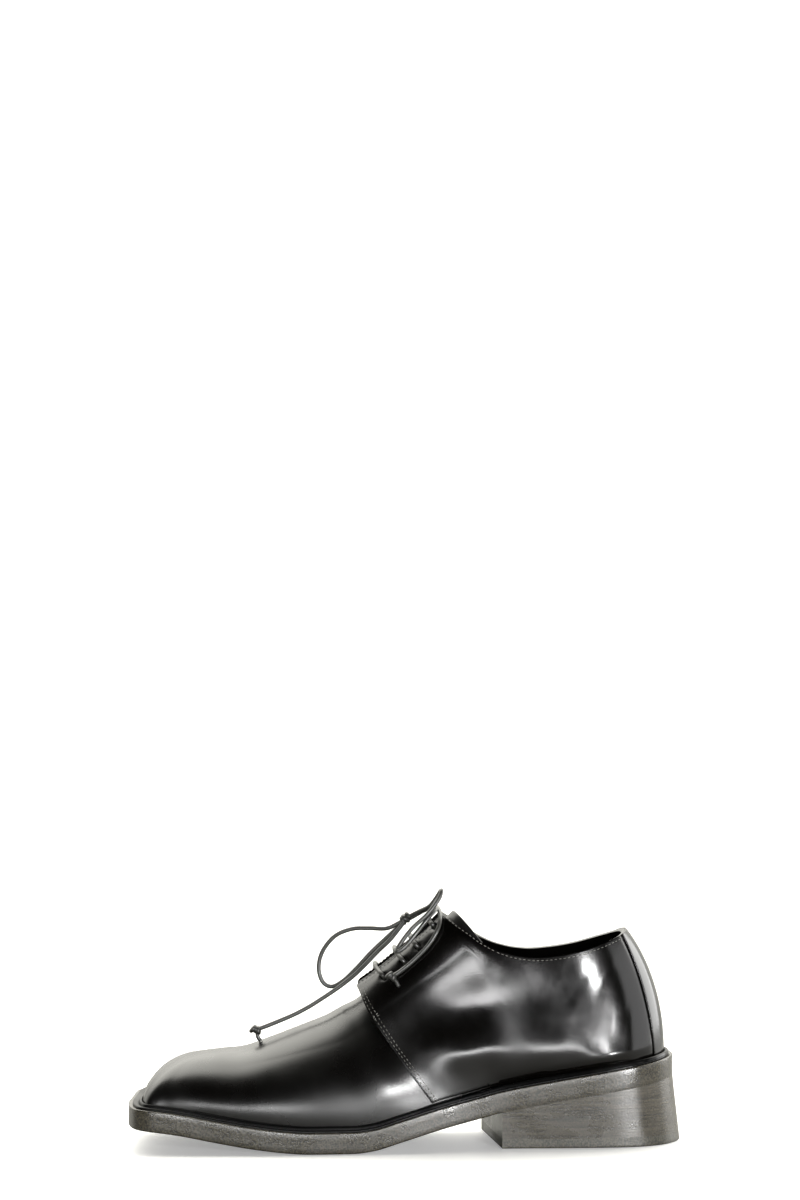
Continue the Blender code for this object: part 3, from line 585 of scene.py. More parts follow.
# Camera, at the photo's viewing angle
cameraSettings = {
    "yaw": 3.0,
    "distance": 1640 * mm,
    "aside": 2.8 * mm,
    "height": 272.8 * mm,
    "target": (0, -2.75 * mm),
    "lens": 97.23,
    "sensor": 36,
    "near": 0.05,
}
yaw = math.radians(cameraSettings["yaw"])
forward = Vector((math.sin(yaw), math.cos(yaw), 0))
toRight = Vector((math.cos(yaw), -math.sin(yaw), 0))
eye = Vector((*cameraSettings["target"], cameraSettings["height"]))
eye -= forward * cameraSettings["distance"] + toRight * cameraSettings["aside"]
bpy.ops.object.camera_add(location=eye, rotation=(math.pi / 2, 0, -yaw))
camera = bpy.context.object
camera.data.sensor_fit = "VERTICAL"
camera.data.sensor_height = cameraSettings["sensor"]
camera.data.lens = cameraSettings["lens"]
camera.data.clip_start = cameraSettings["near"]
bpy.context.scene.camera = camera
print("camera placed")


def clearSelection():
    bpy.ops.object.select_all(action="DESELECT")


def selectOnly(pieces):
    clearSelection()
    for piece in pieces:
        piece.select_set(True)
    bpy.context.view_layer.objects.active = pieces[0]


def finishPiece(piece, name, slot, nodes=(), look=None):
    piece.name = name
    piece.data.name = name
    piece.data.materials.clear()
    piece.data.materials.append(materials[look or slot])
    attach(piece, "root")
    if nodes:
        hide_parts(*nodes)
    return piece


# Cords, by the points of their routes in metres
laceData = {
    "diameter": 2.2 * mm,
    "spacing": 0.8 * mm,
    # each crossing: depths behind the hole, then its share of the way to the facing's edge
    # with its lift in radii, and its sag at the middle
    "crossingDepths": (3.6 * mm, 1.6 * mm),
    "crossingRun": ((0.16, 1.15), (0.45, 1.05), (0.8, 1.05), (1.0, 0.9)),
    "crossingSag": 0.5 * mm,
    "loopFront": (
        (-1.2, -1.8, 110.4), (-9.3, -0.4, 106.5), (-17.8, 1.6, 106.4), (-26.9, 3.2, 105.9),
        (-35.5, 4.6, 102.2), (-41.7, 5.7, 94.5), (-43.7, 6.1, 86.3), (-41.8, 6.0, 79.0),
        (-37.2, 5.5, 76.5), (-31.4, 4.7, 79.4), (-24.8, 3.9, 85.7), (-17.5, 3.1, 93.7),
        (-9.7, 2.2, 101.2), (-3.0, 0.9, 107.5), (-1.4, -0.6, 109.6),
    ),
    "endFront": (
        (-0.9, -3.4, 109.8), (-7.6, -3.2, 101.3), (-13.9, -2.0, 95.1), (-19.9, -1.0, 88.7),
        (-26.0, 0.0, 82.7), (-33.3, 0.8, 76.9), (-41.7, 1.4, 71.2), (-48.2, 1.7, 67.1),
        (-55.3, 1.9, 63.3), (-62.4, 2.0, 60.2), (-71.3, 2.0, 56.7), (-74.2, 2.0, 55.7),
    ),
    "loopSide": (
        (1.2, -3.0, 112.4), (6.6, -5.6, 115.4), (11.6, -9.5, 118.4), (15.0, -9.9, 122.6),
        (17.2, -10.4, 126.1), (17.5, -13.2, 126.3), (15.9, -15.0, 122.4), (10.2, -16.6, 115.1),
        (2.4, -17.4, 108.0), (-4.0, -18.4, 99.7), (-5.2, -20.2, 96.6), (-0.8, -19.6, 99.7),
        (5.5, -17.8, 106.9), (11.6, -15.8, 114.2), (15.0, -10.0, 117.5), (10.5, -2.5, 116.8),
        (2.9, -0.9, 112.8), (1.4, -1.4, 111.9),
    ),
    "endSide": (
        (1.5, 0.4, 110.9), (9.9, 2.6, 115.2), (15.2, -1.8, 117.7), (16.9, -12.0, 114.6),
        (15.6, -19.0, 108.7), (11.1, -20.8, 100.8), (3.3, -20.9, 92.6), (-3.6, -21.0, 87.0),
        (-6.6, -21.2, 85.2),
    ),
}


def pathLengths(path):
    return np.concatenate([[0], np.cumsum(np.linalg.norm(np.diff(path, axis=0), axis=1))])


def alongPath(at, lengths, path):
    return np.stack([np.interp(at, lengths, path[:, k]) for k in range(3)], -1)


def smoothRoute(points, spacing):
    route = np.array(points, float)
    dense = through(route, np.linspace(0, len(route) - 1, 60 * len(route)))
    lengths = pathLengths(dense)
    count = max(5, round(lengths[-1] / spacing) + 1)
    return alongPath(np.linspace(0, lengths[-1], count), lengths, dense), lengths[-1]


def cordCurve(name, points, radius, spacing):
    line, length = smoothRoute(points, spacing)
    curve = bpy.data.curves.new(name, "CURVE")
    curve.dimensions = "3D"
    curve.bevel_depth = radius
    curve.bevel_resolution = 4
    curve.use_fill_caps = True
    spline = curve.splines.new("POLY")
    spline.points.add(len(line) - 1)
    spline.points.foreach_set("co", np.c_[line, np.ones(len(line))].ravel())
    spline.use_smooth = True
    piece = bpy.data.objects.new(name, curve)
    bpy.context.scene.collection.objects.link(piece)
    return piece, line, length


def freeCord(name, key, node):
    radius = laceData["diameter"] / 2
    points = np.array(laceData[key]) * mm
    piece, line, length = cordCurve(name, points, radius, laceData["spacing"])
    finishPiece(piece, name, "lace", (node,))
    return piece


def joinPieces(pieces):
    selectOnly(pieces)
    bpy.ops.object.join()
    return bpy.context.object


# Each knot: its middle, the turns as (offset, tilt, roll, radius), and the tail's points
knotData = {
    "bow_knot": {
        "centre": (0.0, -2.0, 111.6),
        "axis": (0.75, -0.1, 0.66),
        "core": (2.0, 2.0, 2.8),
        "turns": ((-1.7, 8, 0, 1.5), (0.1, -10, 40, 1.75), (1.9, 12, 90, 1.45)),
        "tail": (),
    },
    "end_knot_1": {
        "centre": (-75.6, 2.0, 55.3),
        "axis": (0.95, 0.0, -0.3),
        "core": (1.9, 1.9, 2.7),
        "turns": ((-1.5, 24, 0, 1.5), (1.4, -26, 30, 1.3)),
        "tail": ((-75.0, 2.0, 54.0), (-74.6, 2.0, 51.6), (-73.2, 2.1, 49.6)),
    },
    "end_knot_2": {
        "centre": (-8.0, -21.4, 84.6),
        "axis": (0.8, -0.1, -0.45),
        "core": (1.8, 1.8, 2.5),
        "turns": ((-1.4, 22, 0, 1.4), (1.3, -26, 30, 1.25)),
        "tail": ((-7.0, -21.6, 83.6), (-5.4, -22.2, 81.6), (-4.6, -22.6, 79.8)),
    },
}


def makeKnot(name, node):
    data = knotData[node]
    radius = laceData["diameter"] / 2
    centre = Vector(data["centre"]) * mm
    axis = Vector(data["axis"]).normalized()
    facing = axis.to_track_quat("Z", "Y")
    clearSelection()
    bpy.ops.mesh.primitive_uv_sphere_add(segments=20, ring_count=12, radius=1, location=centre)
    core = bpy.context.object
    core.scale = [c * mm for c in data["core"]]
    core.rotation_euler = facing.to_euler()
    pieces = [core]
    for offset, tilt, roll, size in data["turns"]:
        clearSelection()
        bpy.ops.mesh.primitive_torus_add(
            major_segments=28,
            minor_segments=12,
            major_radius=size * mm,
            minor_radius=radius * 0.96,
            location=centre + axis * offset * mm,
        )
        turn = bpy.context.object
        lean = Euler((math.radians(tilt), 0, math.radians(roll))).to_quaternion()
        turn.rotation_euler = (facing @ lean).to_euler()
        pieces.append(turn)
    if data["tail"]:
        tail, _, _ = cordCurve("tail", np.array(data["tail"]) * mm, radius * 0.92, 0.5 * mm)
        selectOnly([tail])
        bpy.ops.object.convert(target="MESH")
        pieces.append(bpy.context.object)
    knot = joinPieces(pieces)
    bpy.ops.object.transform_apply(location=True, rotation=True, scale=True)
    bpy.ops.object.shade_smooth()
    return finishPiece(knot, name, "lace", (node,))


makeKnot("bow_knot_wraps", "bow_knot")
endKnotFront = makeKnot("front_end_knot", "end_knot_1")
endKnotSide = makeKnot("side_end_knot", "end_knot_2")
loopFront = freeCord("front_loop", "loopFront", "bow_loop_1")
loopSide = freeCord("side_loop", "loopSide", "bow_loop_2")
endFront = freeCord("front_end", "endFront", "lace_end_1")
endSide = freeCord("side_end", "endSide", "lace_end_2")
print("cords made")


def gridPiece(columns, rows, place):
    # grid whose points are moved to place(u, v)
    clearSelection()
    bpy.ops.mesh.primitive_grid_add(x_subdivisions=columns, y_subdivisions=rows, size=2)
    piece = bpy.context.object
    flat = np.zeros(len(piece.data.vertices) * 3)
    piece.data.vertices.foreach_get("co", flat)
    u = np.clip((flat[0::3] + 1) / 2, 0, 1)
    v = np.clip((flat[1::3] + 1) / 2, 0, 1)
    piece.data.vertices.foreach_set("co", place(u, v).ravel())
    piece.data.update()
    return piece


def mergeDoubles(piece, inside=None, reach=0.03 * mm):
    selectOnly([piece])
    bpy.ops.object.mode_set(mode="EDIT")
    bpy.ops.mesh.select_all(action="SELECT")
    bpy.ops.mesh.remove_doubles(threshold=reach)
    bpy.ops.mesh.dissolve_degenerate(threshold=reach / 4)
    bpy.ops.mesh.normals_make_consistent(inside=False)
    bpy.ops.object.mode_set(mode="OBJECT")
    if inside is not None:
        turnOutward(piece, inside)


def turnOutward(piece, inside):
    # an open sheet faces away from the point inside it
    mesh = piece.data
    total = sum(p.normal.dot(p.center - Vector(inside)) * p.area for p in mesh.polygons)
    if total < 0:
        bpy.ops.object.mode_set(mode="EDIT")
        bpy.ops.mesh.select_all(action="SELECT")
        bpy.ops.mesh.flip_normals()
        bpy.ops.object.mode_set(mode="OBJECT")


def applyModifiers(piece):
    selectOnly([piece])
    for modifier in list(piece.modifiers):
        bpy.ops.object.modifier_apply(modifier=modifier.name)


def smoothShade(piece, angle):
    selectOnly([piece])
    bpy.ops.object.shade_smooth_by_angle(angle=math.radians(angle))


def roundEdges(piece, width, segments, angle):
    rounding = piece.modifiers.new("edge", "BEVEL")
    rounding.width = width
    rounding.segments = segments
    rounding.limit_method = "ANGLE"
    rounding.angle_limit = math.radians(angle)


def thicken(piece, wall, edge=0.0):
    solid = piece.modifiers.new("wall", "SOLIDIFY")
    solid.thickness = wall
    solid.offset = -1
    solid.use_quality_normals = True
    if edge:
        roundEdges(piece, edge, 3, 55)


def evenPlaces(share, fine, foot):
    # places of the fine list that lie at these shares of the foot's length
    lengths = pathLengths(foot)
    return np.interp(share * lengths[-1], lengths, fine)


def sheetPiece(columns, rows, place, inside, wall, edge=0.0, shade=40):
    piece = gridPiece(columns, rows, place)
    mergeDoubles(piece, inside=inside)
    thicken(piece, wall, edge)
    applyModifiers(piece)
    smoothShade(piece, shade)
    return piece


foldSettings = {"footBand": 9 * mm, "medialShare": 0.6}
# Soft folds: middle (x, z), half length, half width, tilt in degrees and height, in millimetres
foldRows = (
    # the quarter's bulge above the welt, and the hollow under the ankle
    (23, 50.5, 25, 12, -8, 1.9),
    (74, 44, 34, 14, 4, 2.0),
    (103, 40, 14, 9, 0, 1.6),
    (48, 73, 42, 12, 6, -0.5),
    # wrinkles of the counter
    (95, 62, 14, 2.6, 78, -0.10),
    (102, 60, 13, 2.2, 80, 0.08),
    (109, 62, 12, 2.2, 76, -0.08),
    (88, 84, 12, 3.0, 60, -0.09),
    (100, 86, 10, 2.2, 66, 0.07),
    (76, 88, 12, 2.4, 70, 0.07),
    (82, 66, 12, 2.6, 74, 0.07),
)


def folded(points, normals, side):
    # pushes the points along their normals, and leaves the upper's foot where it is
    shift = np.zeros(len(points))
    x = points[:, 0] / mm
    z = points[:, 2] / mm
    for foldX, foldZ, halfLength, halfWidth, tilt, height in foldRows:
        c = math.cos(math.radians(tilt))
        d = math.sin(math.radians(tilt))
        along = ((x - foldX) * c + (z - foldZ) * d) / halfLength
        across = (-(x - foldX) * d + (z - foldZ) * c) / halfWidth
        shift += height * mm * np.exp(-(along**2) - across**2)
    above = points[:, 2] - soleTop(points[:, 0])
    keep = ramp(above, 0, foldSettings["footBand"])
    keep = keep * np.where(side < 0, 1.0, foldSettings["medialShare"])
    return points + normals * (shift * keep)[:, None]


# Vamp
def vampPlace(u, v):
    s = u * vampSettings["end"]
    side = sideOf(v - 0.5)
    angle = (1 - np.abs(2 * v - 1)) * math.pi / 2
    points = skin(s, side, angle, 0.0)
    return folded(points, faceNormal(s, side, angle), side)


def makeVamp():
    piece = gridPiece(vampSettings["columns"], vampSettings["rows"], vampPlace)
    mergeDoubles(piece, inside=(-0.05, 0, 0.02))
    group = piece.vertex_groups.new(name="toe_top")
    toeTop = Vector((lengthAt(vampSettings["softMiddle"]), 0, shoe["toeHeight"]))
    for vertex in piece.data.vertices:
        away = (vertex.co - toeTop).length
        weight = float(1 - ramp(away, *vampSettings["softReach"]))
        ridge = float(1 - ramp(abs(vertex.co.y), *vampSettings["ridgeReach"]))
        group.add([vertex.index], max(weight, ridge * vampSettings["ridgeShare"]), "REPLACE")
    soften = piece.modifiers.new("soften", "SMOOTH")
    soften.vertex_group = "toe_top"
    soften.factor = 0.5
    soften.iterations = vampSettings["softTurns"]
    thicken(piece, vampSettings["wall"])
    applyModifiers(piece)
    smoothShade(piece, 50)
    return piece


# Quarters
def quarterPlace(u, v):
    seam = quarterSettings["seam"]
    # u runs from the lateral seam round the heel to the medial seam
    count = quarterSettings["columns"] + 1
    span = last - seam
    fine = np.linspace(-span, span, 4000)
    along = evenPlaces(u, fine, soleEdge(last - np.abs(fine), sideOf(fine)))
    s = last - np.abs(along)
    side = sideOf(along)
    columns = np.round(u * (count - 1)).astype(int)
    stations = np.zeros(count)
    sides = np.zeros(count)
    stations[columns] = s
    sides[columns] = side
    rims = rimAngle(stations, sides)
    bend = quarterSettings["bend"] * ramp(v, 0.6, 1.0) * np.maximum(0, 1 - (s - seam) / 2)
    angle = rims[columns] * v
    place = s + bend
    points = quarterSkin(place, side, angle)
    normals = faceNormal(place, side, angle)
    away = np.full(len(points), 1.0)
    for k in range(len(eyeletSettings["places"])):
        for one in (-1.0, 1.0):
            eyeletS, eyeletAngle = eyeletPlace(k, one)
            centre = quarterSkin(eyeletS, one, eyeletAngle)
            away = np.minimum(away, np.linalg.norm(points - centre, axis=1))
    # the facing bends down from the eyelets to its rim
    stepAngle = 0.02
    near = quarterSkin(place, side, angle - stepAngle)
    perAngle = np.linalg.norm(points - near, axis=1) / stepAngle
    inset = (rims[columns] - angle) * perAngle
    facing = ramp(s, *quarterSettings["rollFrom"]) * (1 - ramp(s, *quarterSettings["rollEnd"]))
    strip = np.maximum(0, 1 - inset / quarterSettings["rollWidth"])
    roll = quarterSettings["roll"] * facing * strip**3
    dimple = eyeletSettings["dimple"] * np.exp(-((away / eyeletSettings["dimpleWidth"]) ** 4))
    points = folded(points, normals, side)
    return points + normals * (roll - dimple)[:, None]


def eyeletCutters():
    cutters = []
    for k in range(len(eyeletSettings["places"])):
        for side in (-1.0, 1.0):
            s, angle = eyeletPlace(k, side)
            centre = quarterSkin(s, side, angle, -quarterSettings["step"])
            normal = Vector(quarterNormal(s, side, angle))
            clearSelection()
            bpy.ops.mesh.primitive_cylinder_add(
                vertices=28,
                radius=eyeletSettings["radius"],
                depth=eyeletSettings["cutDepth"],
                location=centre,
            )
            cutter = bpy.context.object
            cutter.rotation_euler = normal.to_track_quat("Z", "Y").to_euler()
            cutters.append(cutter)
    return joinPieces(cutters)


def makeQuarters():
    piece = gridPiece(quarterSettings["columns"], quarterSettings["rows"], quarterPlace)
    mergeDoubles(piece, inside=(0.06, 0, 0.06))
    thicken(piece, quarterSettings["wall"])
    applyModifiers(piece)
    cutter = eyeletCutters()
    holes = piece.modifiers.new("eyelets", "BOOLEAN")
    holes.operation = "DIFFERENCE"
    holes.solver = "EXACT"
    holes.object = cutter
    roundEdges(piece, quarterSettings["edgeRound"], 2, 50)
    applyModifiers(piece)
    bpy.data.objects.remove(cutter)
    smoothShade(piece, 40)
    return piece


vamp = finishPiece(makeVamp(), "vamp", "upper_leather", ("upper",))
print("vamp made", len(vamp.data.polygons))
quarters = finishPiece(makeQuarters(), "quarters", "upper_leather", ("upper",))
print("quarters made", len(quarters.data.polygons))


# Back strip
def stripReach():
    # stations from the heel's middle to the strip's edge
    first = last - 4.0
    while True:
        foot = insetEdge(np.array(first), np.array(-1.0), shoe["heelMargin"])
        if abs(float(foot[1] - spine(np.array(first))[1])) <= stripSettings["half"]:
            return last - first
        first += 0.02


def stripPlace(u, v):
    reach = stripReach()
    along = (2 * u - 1) * reach
    s = last - np.abs(along)
    side = sideOf(along)
    rims = rimAngle(s, side)
    angle = stripSettings["foot"] + (rims - stripSettings["foot"]) * v
    lift = shoe["fit"] / 3 + stripSettings["thickness"]
    return quarterSkin(s, side, angle, lift)


backStrip = sheetPiece(
    60, 90, stripPlace, (0.06, 0, 0.06), stripSettings["thickness"], stripSettings["edgeRound"]
)
finishPiece(backStrip, "heel_strip", "upper_leather", ("back_strip",))
print("strip made", len(backStrip.data.polygons))


# Tongue
def tonguePlace(u, v):
    start, end = tongueSettings["start"], tongueSettings["end"]
    s = start + (end - start) * u
    side = sideOf(v - 0.5)
    taper = tongueSettings["taper"] * ramp(s, end - tongueSettings["taperLength"], end)
    reach = tongueSettings["half"] * (1 - taper)
    lowest = np.arcsin(tongueSettings["rise"] ** (rowAt(s)["square"] / 2))

    def past(angle):
        return np.abs(lastPoint(s, side, angle)[..., 1] - spine(s)[..., 1]) < reach

    edge = np.maximum(halved(past, 0.2, math.pi / 2, np.shape(s)), lowest)
    aside = np.abs(2 * v - 1)
    angle = edge + (math.pi / 2 - edge) * (1 - aside)
    at = s + tongueSettings["bend"] * ramp(s, start, end) * aside**1.3
    return skin(at, side, angle, 0.0)


tonguePiece = sheetPiece(
    70, 60, tonguePlace, (0.0, 0, 0.06), tongueSettings["thickness"], tongueSettings["edgeRound"]
)
finishPiece(tonguePiece, "tongue_leaf", "tongue_leather", ("tongue",))
print("tongue made")


# Solids that run along the sole: a closed outline at each station, given by rows of
# (how far across, inset, height), where across -1 is the lateral edge and 1 the medial
def soleOutline(rounding, acrossRows, topRounding):
    quarterTurn = np.linspace(0.2, math.pi / 2, 5)

    def corner(side, radius, share, way):
        if radius < 0.1 * mm:
            return []
        turned = quarterTurn if way > 0 else quarterTurn[::-1]
        return [
            (side, radius * (1 - math.sin(a)), share, radius * (1 - math.cos(a))) for a in turned
        ]

    def topCorner(side, radius, way):
        rows = corner(side, radius, 1.0, way)
        return [(side, inset, share, -drop) for _, inset, share, drop in rows]

    rows = [(mix, rounding, 0.0, 0.0) for mix in np.linspace(-1, 1, acrossRows)]
    rows += corner(1, rounding, 0.0, 1)
    rows += [(1, 0.0, share, 0.0) for share in (0.3, 0.5, 0.7)]
    rows += topCorner(1, topRounding, -1)
    rows += [(mix, topRounding, 1.0, 0.0) for mix in np.linspace(1, -1, acrossRows)]
    rows += topCorner(-1, topRounding, 1)
    rows += [(-1, 0.0, share, 0.0) for share in (0.7, 0.5, 0.3)]
    rows += corner(-1, rounding, 0.0, -1)
    return np.array(rows + rows[:1])


def solePiece(columns, outline, stationOf, bottomOf, topOf, shiftOf=None, edgeOf=None):
    rowCount = len(outline) - 1

    def place(u, v):
        row = outline[np.round(v * rowCount).astype(int)]
        s, shrink = stationOf(u)
        edge = edgeOf(s[0]) if edgeOf else 1.0
        edge = np.where(row[:, 2] > 0.5, 1.0, edge)
        lateral = insetEdge(s[0], -np.ones(len(u)), row[:, 1] * edge)
        medial = insetEdge(s[1], np.ones(len(u)), row[:, 1] * edge)
        mix = ((row[:, 0] + 1) / 2)[:, None]
        plan = lateral * (1 - mix) + medial * mix
        middle = (lateral + medial) / 2
        plan = middle + (plan - middle) * shrink[:, None]
        low = bottomOf(plan[:, 0])
        high = topOf(plan[:, 0])
        z = low + (high - low) * row[:, 2] + row[:, 3] * edge
        z = (low + high) / 2 + (z - (low + high) / 2) * shrink
        if shiftOf is not None:
            plan = plan + np.stack([shiftOf(plan[:, 0], z), 0 * z], -1)
        return np.c_[plan, z]

    piece = gridPiece(columns, rowCount, place)
    mergeDoubles(piece, reach=0.004 * mm)
    return piece


def wholeSole(u):
    fine = np.linspace(0, last, 3000)
    s = evenPlaces(u, fine, soleEdge(fine, -np.ones(3000)))
    return (s, s), np.ones(len(u))


def soleEdgeRound(s):
    # the edge is sharp where the heel meets it
    return 1 - soleSizes["sharpShare"] * ramp(s, *soleSizes["sharpFrom"])


outsolePiece = solePiece(
    soleSizes["columns"],
    soleOutline(soleSizes["edgeRound"], 24, soleSizes["topRound"]),
    wholeSole,
    underside,
    soleTop,
    edgeOf=soleEdgeRound,
)
smoothShade(outsolePiece, 60)
finishPiece(outsolePiece, "sole_layer", "sole_leather", ("outsole",))


def breastStations(u):
    # the first columns close the breast's face
    starts = []
    for side, breast in ((-1.0, shoe["breastLateral"]), (1.0, shoe["breastMedial"])):
        line = np.linspace(12, last, 6000)
        x = soleEdge(line, np.full(6000, side))[:, 0]
        starts.append(line[np.argmax(x >= lengthAt(breast))])
    t = np.clip((u - 0.01) / 0.99, 0, 1)
    return tuple(first + (last - first) * t for first in starts), np.where(u < 0.004, 0.0, 1.0)


def flareShift(x, z):
    top = underside(x) - shoe["fit"]
    back = ramp(x, lengthAt(shoe["breastLateral"]), shoe["length"] / 2)
    return shoe["heelFlare"] * back * np.clip(1 - z / top, 0, 1)


def heelTop(x):
    return underside(x) + 0.05 * mm


def flat(level):
    return lambda x: np.full(len(x), level)


heelPiece = solePiece(
    soleSizes["heelColumns"],
    soleOutline(0.0, 16, 0.0),
    breastStations,
    flat(shoe["topLift"]),
    heelTop,
    flareShift,
)
smoothShade(heelPiece, 45)
finishPiece(heelPiece, "heel_block", "heel_stack", ("heel_stack",))
liftPiece = solePiece(
    soleSizes["heelColumns"],
    soleOutline(soleSizes["liftRound"], 16, 0.0),
    breastStations,
    flat(0.0),
    flat(shoe["topLift"]),
    flareShift,
)
smoothShade(liftPiece, 45)
finishPiece(liftPiece, "heel_lift", "top_lift", ("top_lift",))


def insolePlace(u, v):
    # the insole's edge follows the upper's inner wall
    (s, _), _ = wholeSole(u)
    inset = margin(s) + vampSettings["wall"] + shoe["fit"]
    lateral = insetEdge(s, -np.ones(len(u)), inset)
    medial = insetEdge(s, np.ones(len(u)), inset)
    plan = lateral * (1 - v[:, None]) + medial * v[:, None]
    return np.c_[plan, soleTop(plan[:, 0]) + shoe["fit"] + insoleThickness]


insolePiece = sheetPiece(200, 24, insolePlace, (0, 0, -0.5), insoleThickness, shade=45)
finishPiece(insolePiece, "inner_floor", "insole", ("insole",))
print("sole and heel made")


def weltPlaceOf(profile):
    rowCount = len(profile) - 1

    def place(u, v):
        fine = np.linspace(-last, last, 4000)
        share = np.round(u * weltSettings["columns"]) / weltSettings["columns"]
        along = evenPlaces(share, fine, soleEdge(np.abs(fine), sideOf(fine)))
        s = np.abs(along)
        side = sideOf(along)
        row = profile[np.round(v * rowCount).astype(int)]
        seam = quarterSettings["seam"]
        quarter = quarterSettings["step"] * ramp(s, seam - 0.6, seam - 0.1)
        strip = (shoe["fit"] + stripSettings["thickness"]) * ramp(s, last - 4.2, last - 3.2)
        inner = margin(s) - quarter - strip - shoe["fit"] / 3
        inset = np.where(row[:, 2] > 0.5, inner - row[:, 0], row[:, 0])
        plan = insetEdge(s, side, inset)
        return np.c_[plan, soleTop(plan[:, 0]) + row[:, 1]]

    return place


def makeWelt():
    # rows: distance, height, and 1 where the distance counts from the upper
    strip, bead, width = weltSettings["strip"], weltSettings["bead"], weltSettings["beadWidth"]
    reveal = weltSettings["reveal"]
    rows = [(0.0, 0.1 * mm, 1), (reveal, 0.1 * mm, 0), (reveal - 0.05 * mm, 0.4 * mm, 0)]
    rows += [(reveal + 0.1 * mm, strip - 0.2 * mm, 0), (reveal + 0.4 * mm, strip, 0)]
    rows += [(width + 0.35 * mm, strip - 0.1 * mm, 1), (width + 0.1 * mm, strip - 0.3 * mm, 1)]
    low = strip - 0.2 * mm
    for a in np.linspace(0.15, math.pi * 0.92, 9):
        rows.append((width / 2 + width / 2 * math.cos(a), low + (bead - low) * math.sin(a), 1))
    rows.append(rows[0])
    piece = gridPiece(weltSettings["columns"], len(rows) - 1, weltPlaceOf(np.array(rows)))
    mergeDoubles(piece)
    smoothShade(piece, 60)
    return piece


finishPiece(makeWelt(), "welt_strip", "welt", ("welt",))
print("welt made")


# Crossings of the lace, through the eyelets and over the facings
def makeBar(k):
    radius = laceData["diameter"] / 2
    halves = []
    for side in (-1.0, 1.0):
        s, angle = eyeletPlace(k, side)
        rim = rimAngle(np.array([float(s)]), np.array([side]))[0]
        hole = quarterSkin(s, side, angle)
        out = quarterNormal(s, side, angle)

        half = [hole - out * depth for depth in laceData["crossingDepths"]]
        half.append(hole + out * radius * 0.5)
        for share, lift in laceData["crossingRun"]:
            half.append(quarterSkin(s, side, angle + (rim - angle) * share, radius * lift))
        halves.append(half)
    low, high = halves
    middle = (low[-1] + high[-1]) / 2 - np.array([0, 0, laceData["crossingSag"]])
    route = np.array([*low, middle, *high[::-1]])
    piece, _, _ = cordCurve(f"crossing_{k + 1}", route, radius, laceData["spacing"])
    return finishPiece(piece, f"crossing_{k + 1}", "lace", (f"lace_bar_{k + 1}",))


for k in range(len(eyeletSettings["places"])):
    makeBar(k)
print("crossings made")


# Stitches: one small bead of thread, copied along a path on the leather
stitchSettings = {
    "length": 1.5 * mm,
    "gap": 0.75 * mm,
    "thickness": 0.42 * mm,
    "lift": 0.05 * mm,
    "edgeInset": 1.7 * mm,
    "facingStart": 14.35,
    "collarStart": 19.6,
    "seamInsets": (1.2 * mm, 2.7 * mm),
    "tackRise": 0.62,
    "tackStep": 0.016,
    "tackLift": 0.1 * mm,
}


def stitchRow(name, path, normals):
    lengths = pathLengths(path)
    pitch = stitchSettings["length"] + stitchSettings["gap"]
    at = np.arange(pitch / 2, lengths[-1], pitch)
    centres = alongPath(at, lengths, path)
    ahead = alongPath(at + pitch / 4, lengths, path)
    ups = alongPath(at, lengths, normals)
    beads = []
    for centre, front, up in zip(centres, ahead, ups):
        forwardWay = Vector(front - centre).normalized()
        upWay = Vector(up).normalized()
        sideWay = upWay.cross(forwardWay).normalized()
        upWay = forwardWay.cross(sideWay)
        clearSelection()
        if not beads:
            bpy.ops.mesh.primitive_uv_sphere_add(segments=8, ring_count=5, radius=0.5)
            bead = bpy.context.object
            mesh = bead.data
        else:
            bead = bpy.data.objects.new("stitch", mesh)
            bpy.context.scene.collection.objects.link(bead)
        long, thick = stitchSettings["length"], stitchSettings["thickness"]
        basis = Matrix((forwardWay * long, sideWay * thick, upWay * thick)).transposed()
        bead.matrix_world = Matrix.Translation(Vector(centre)) @ basis.to_4x4()
        beads.append(bead)
    selectOnly(beads)
    bpy.ops.object.make_single_user(object=True, obdata=True)
    bpy.ops.object.join()
    piece = bpy.context.object
    bpy.ops.object.transform_apply(location=True, rotation=True, scale=True)
    bpy.ops.object.shade_smooth()
    return finishPiece(piece, name, "upper_leather", look="thread")


def surfacePath(s, side, angle, lift):
    s, side, angle = np.broadcast_arrays(s, side, angle)
    points = quarterSkin(s, side, angle, lift)
    return folded(points, faceNormal(s, side, angle), side), quarterNormal(s, side, angle)


def rimRow(name, first, end, side, inset):
    # a row of stitches that follows the rim at an inset
    s = np.linspace(first, end, 240)
    sides = np.full(240, float(side))
    rim = rimAngle(s, sides)
    step = 0.02
    moved = quarterSkin(s, sides, rim) - quarterSkin(s, sides, rim - step)
    perAngle = np.linalg.norm(moved, axis=1) / step
    path, normals = surfacePath(s, sides, rim - inset / perAngle, stitchSettings["lift"])
    stitchRow(name, path, normals)


def seamRow(name, side, inset):
    v = np.linspace(0.03, 0.9, 200)
    seam = quarterSettings["seam"]
    sides = np.full(200, float(side))
    rim = rimAngle(np.full(200, seam + 0.15), sides)
    angle = rim * v
    bend = quarterSettings["bend"] * ramp(v, 0.6, 1.0)
    s = seam + bend
    step = 0.1
    moved = quarterSkin(s + step, sides, angle) - quarterSkin(s, sides, angle)
    perStation = np.linalg.norm(moved, axis=1) / step
    path, normals = surfacePath(s + inset / perStation, sides, angle, stitchSettings["lift"])
    stitchRow(name, path, normals)


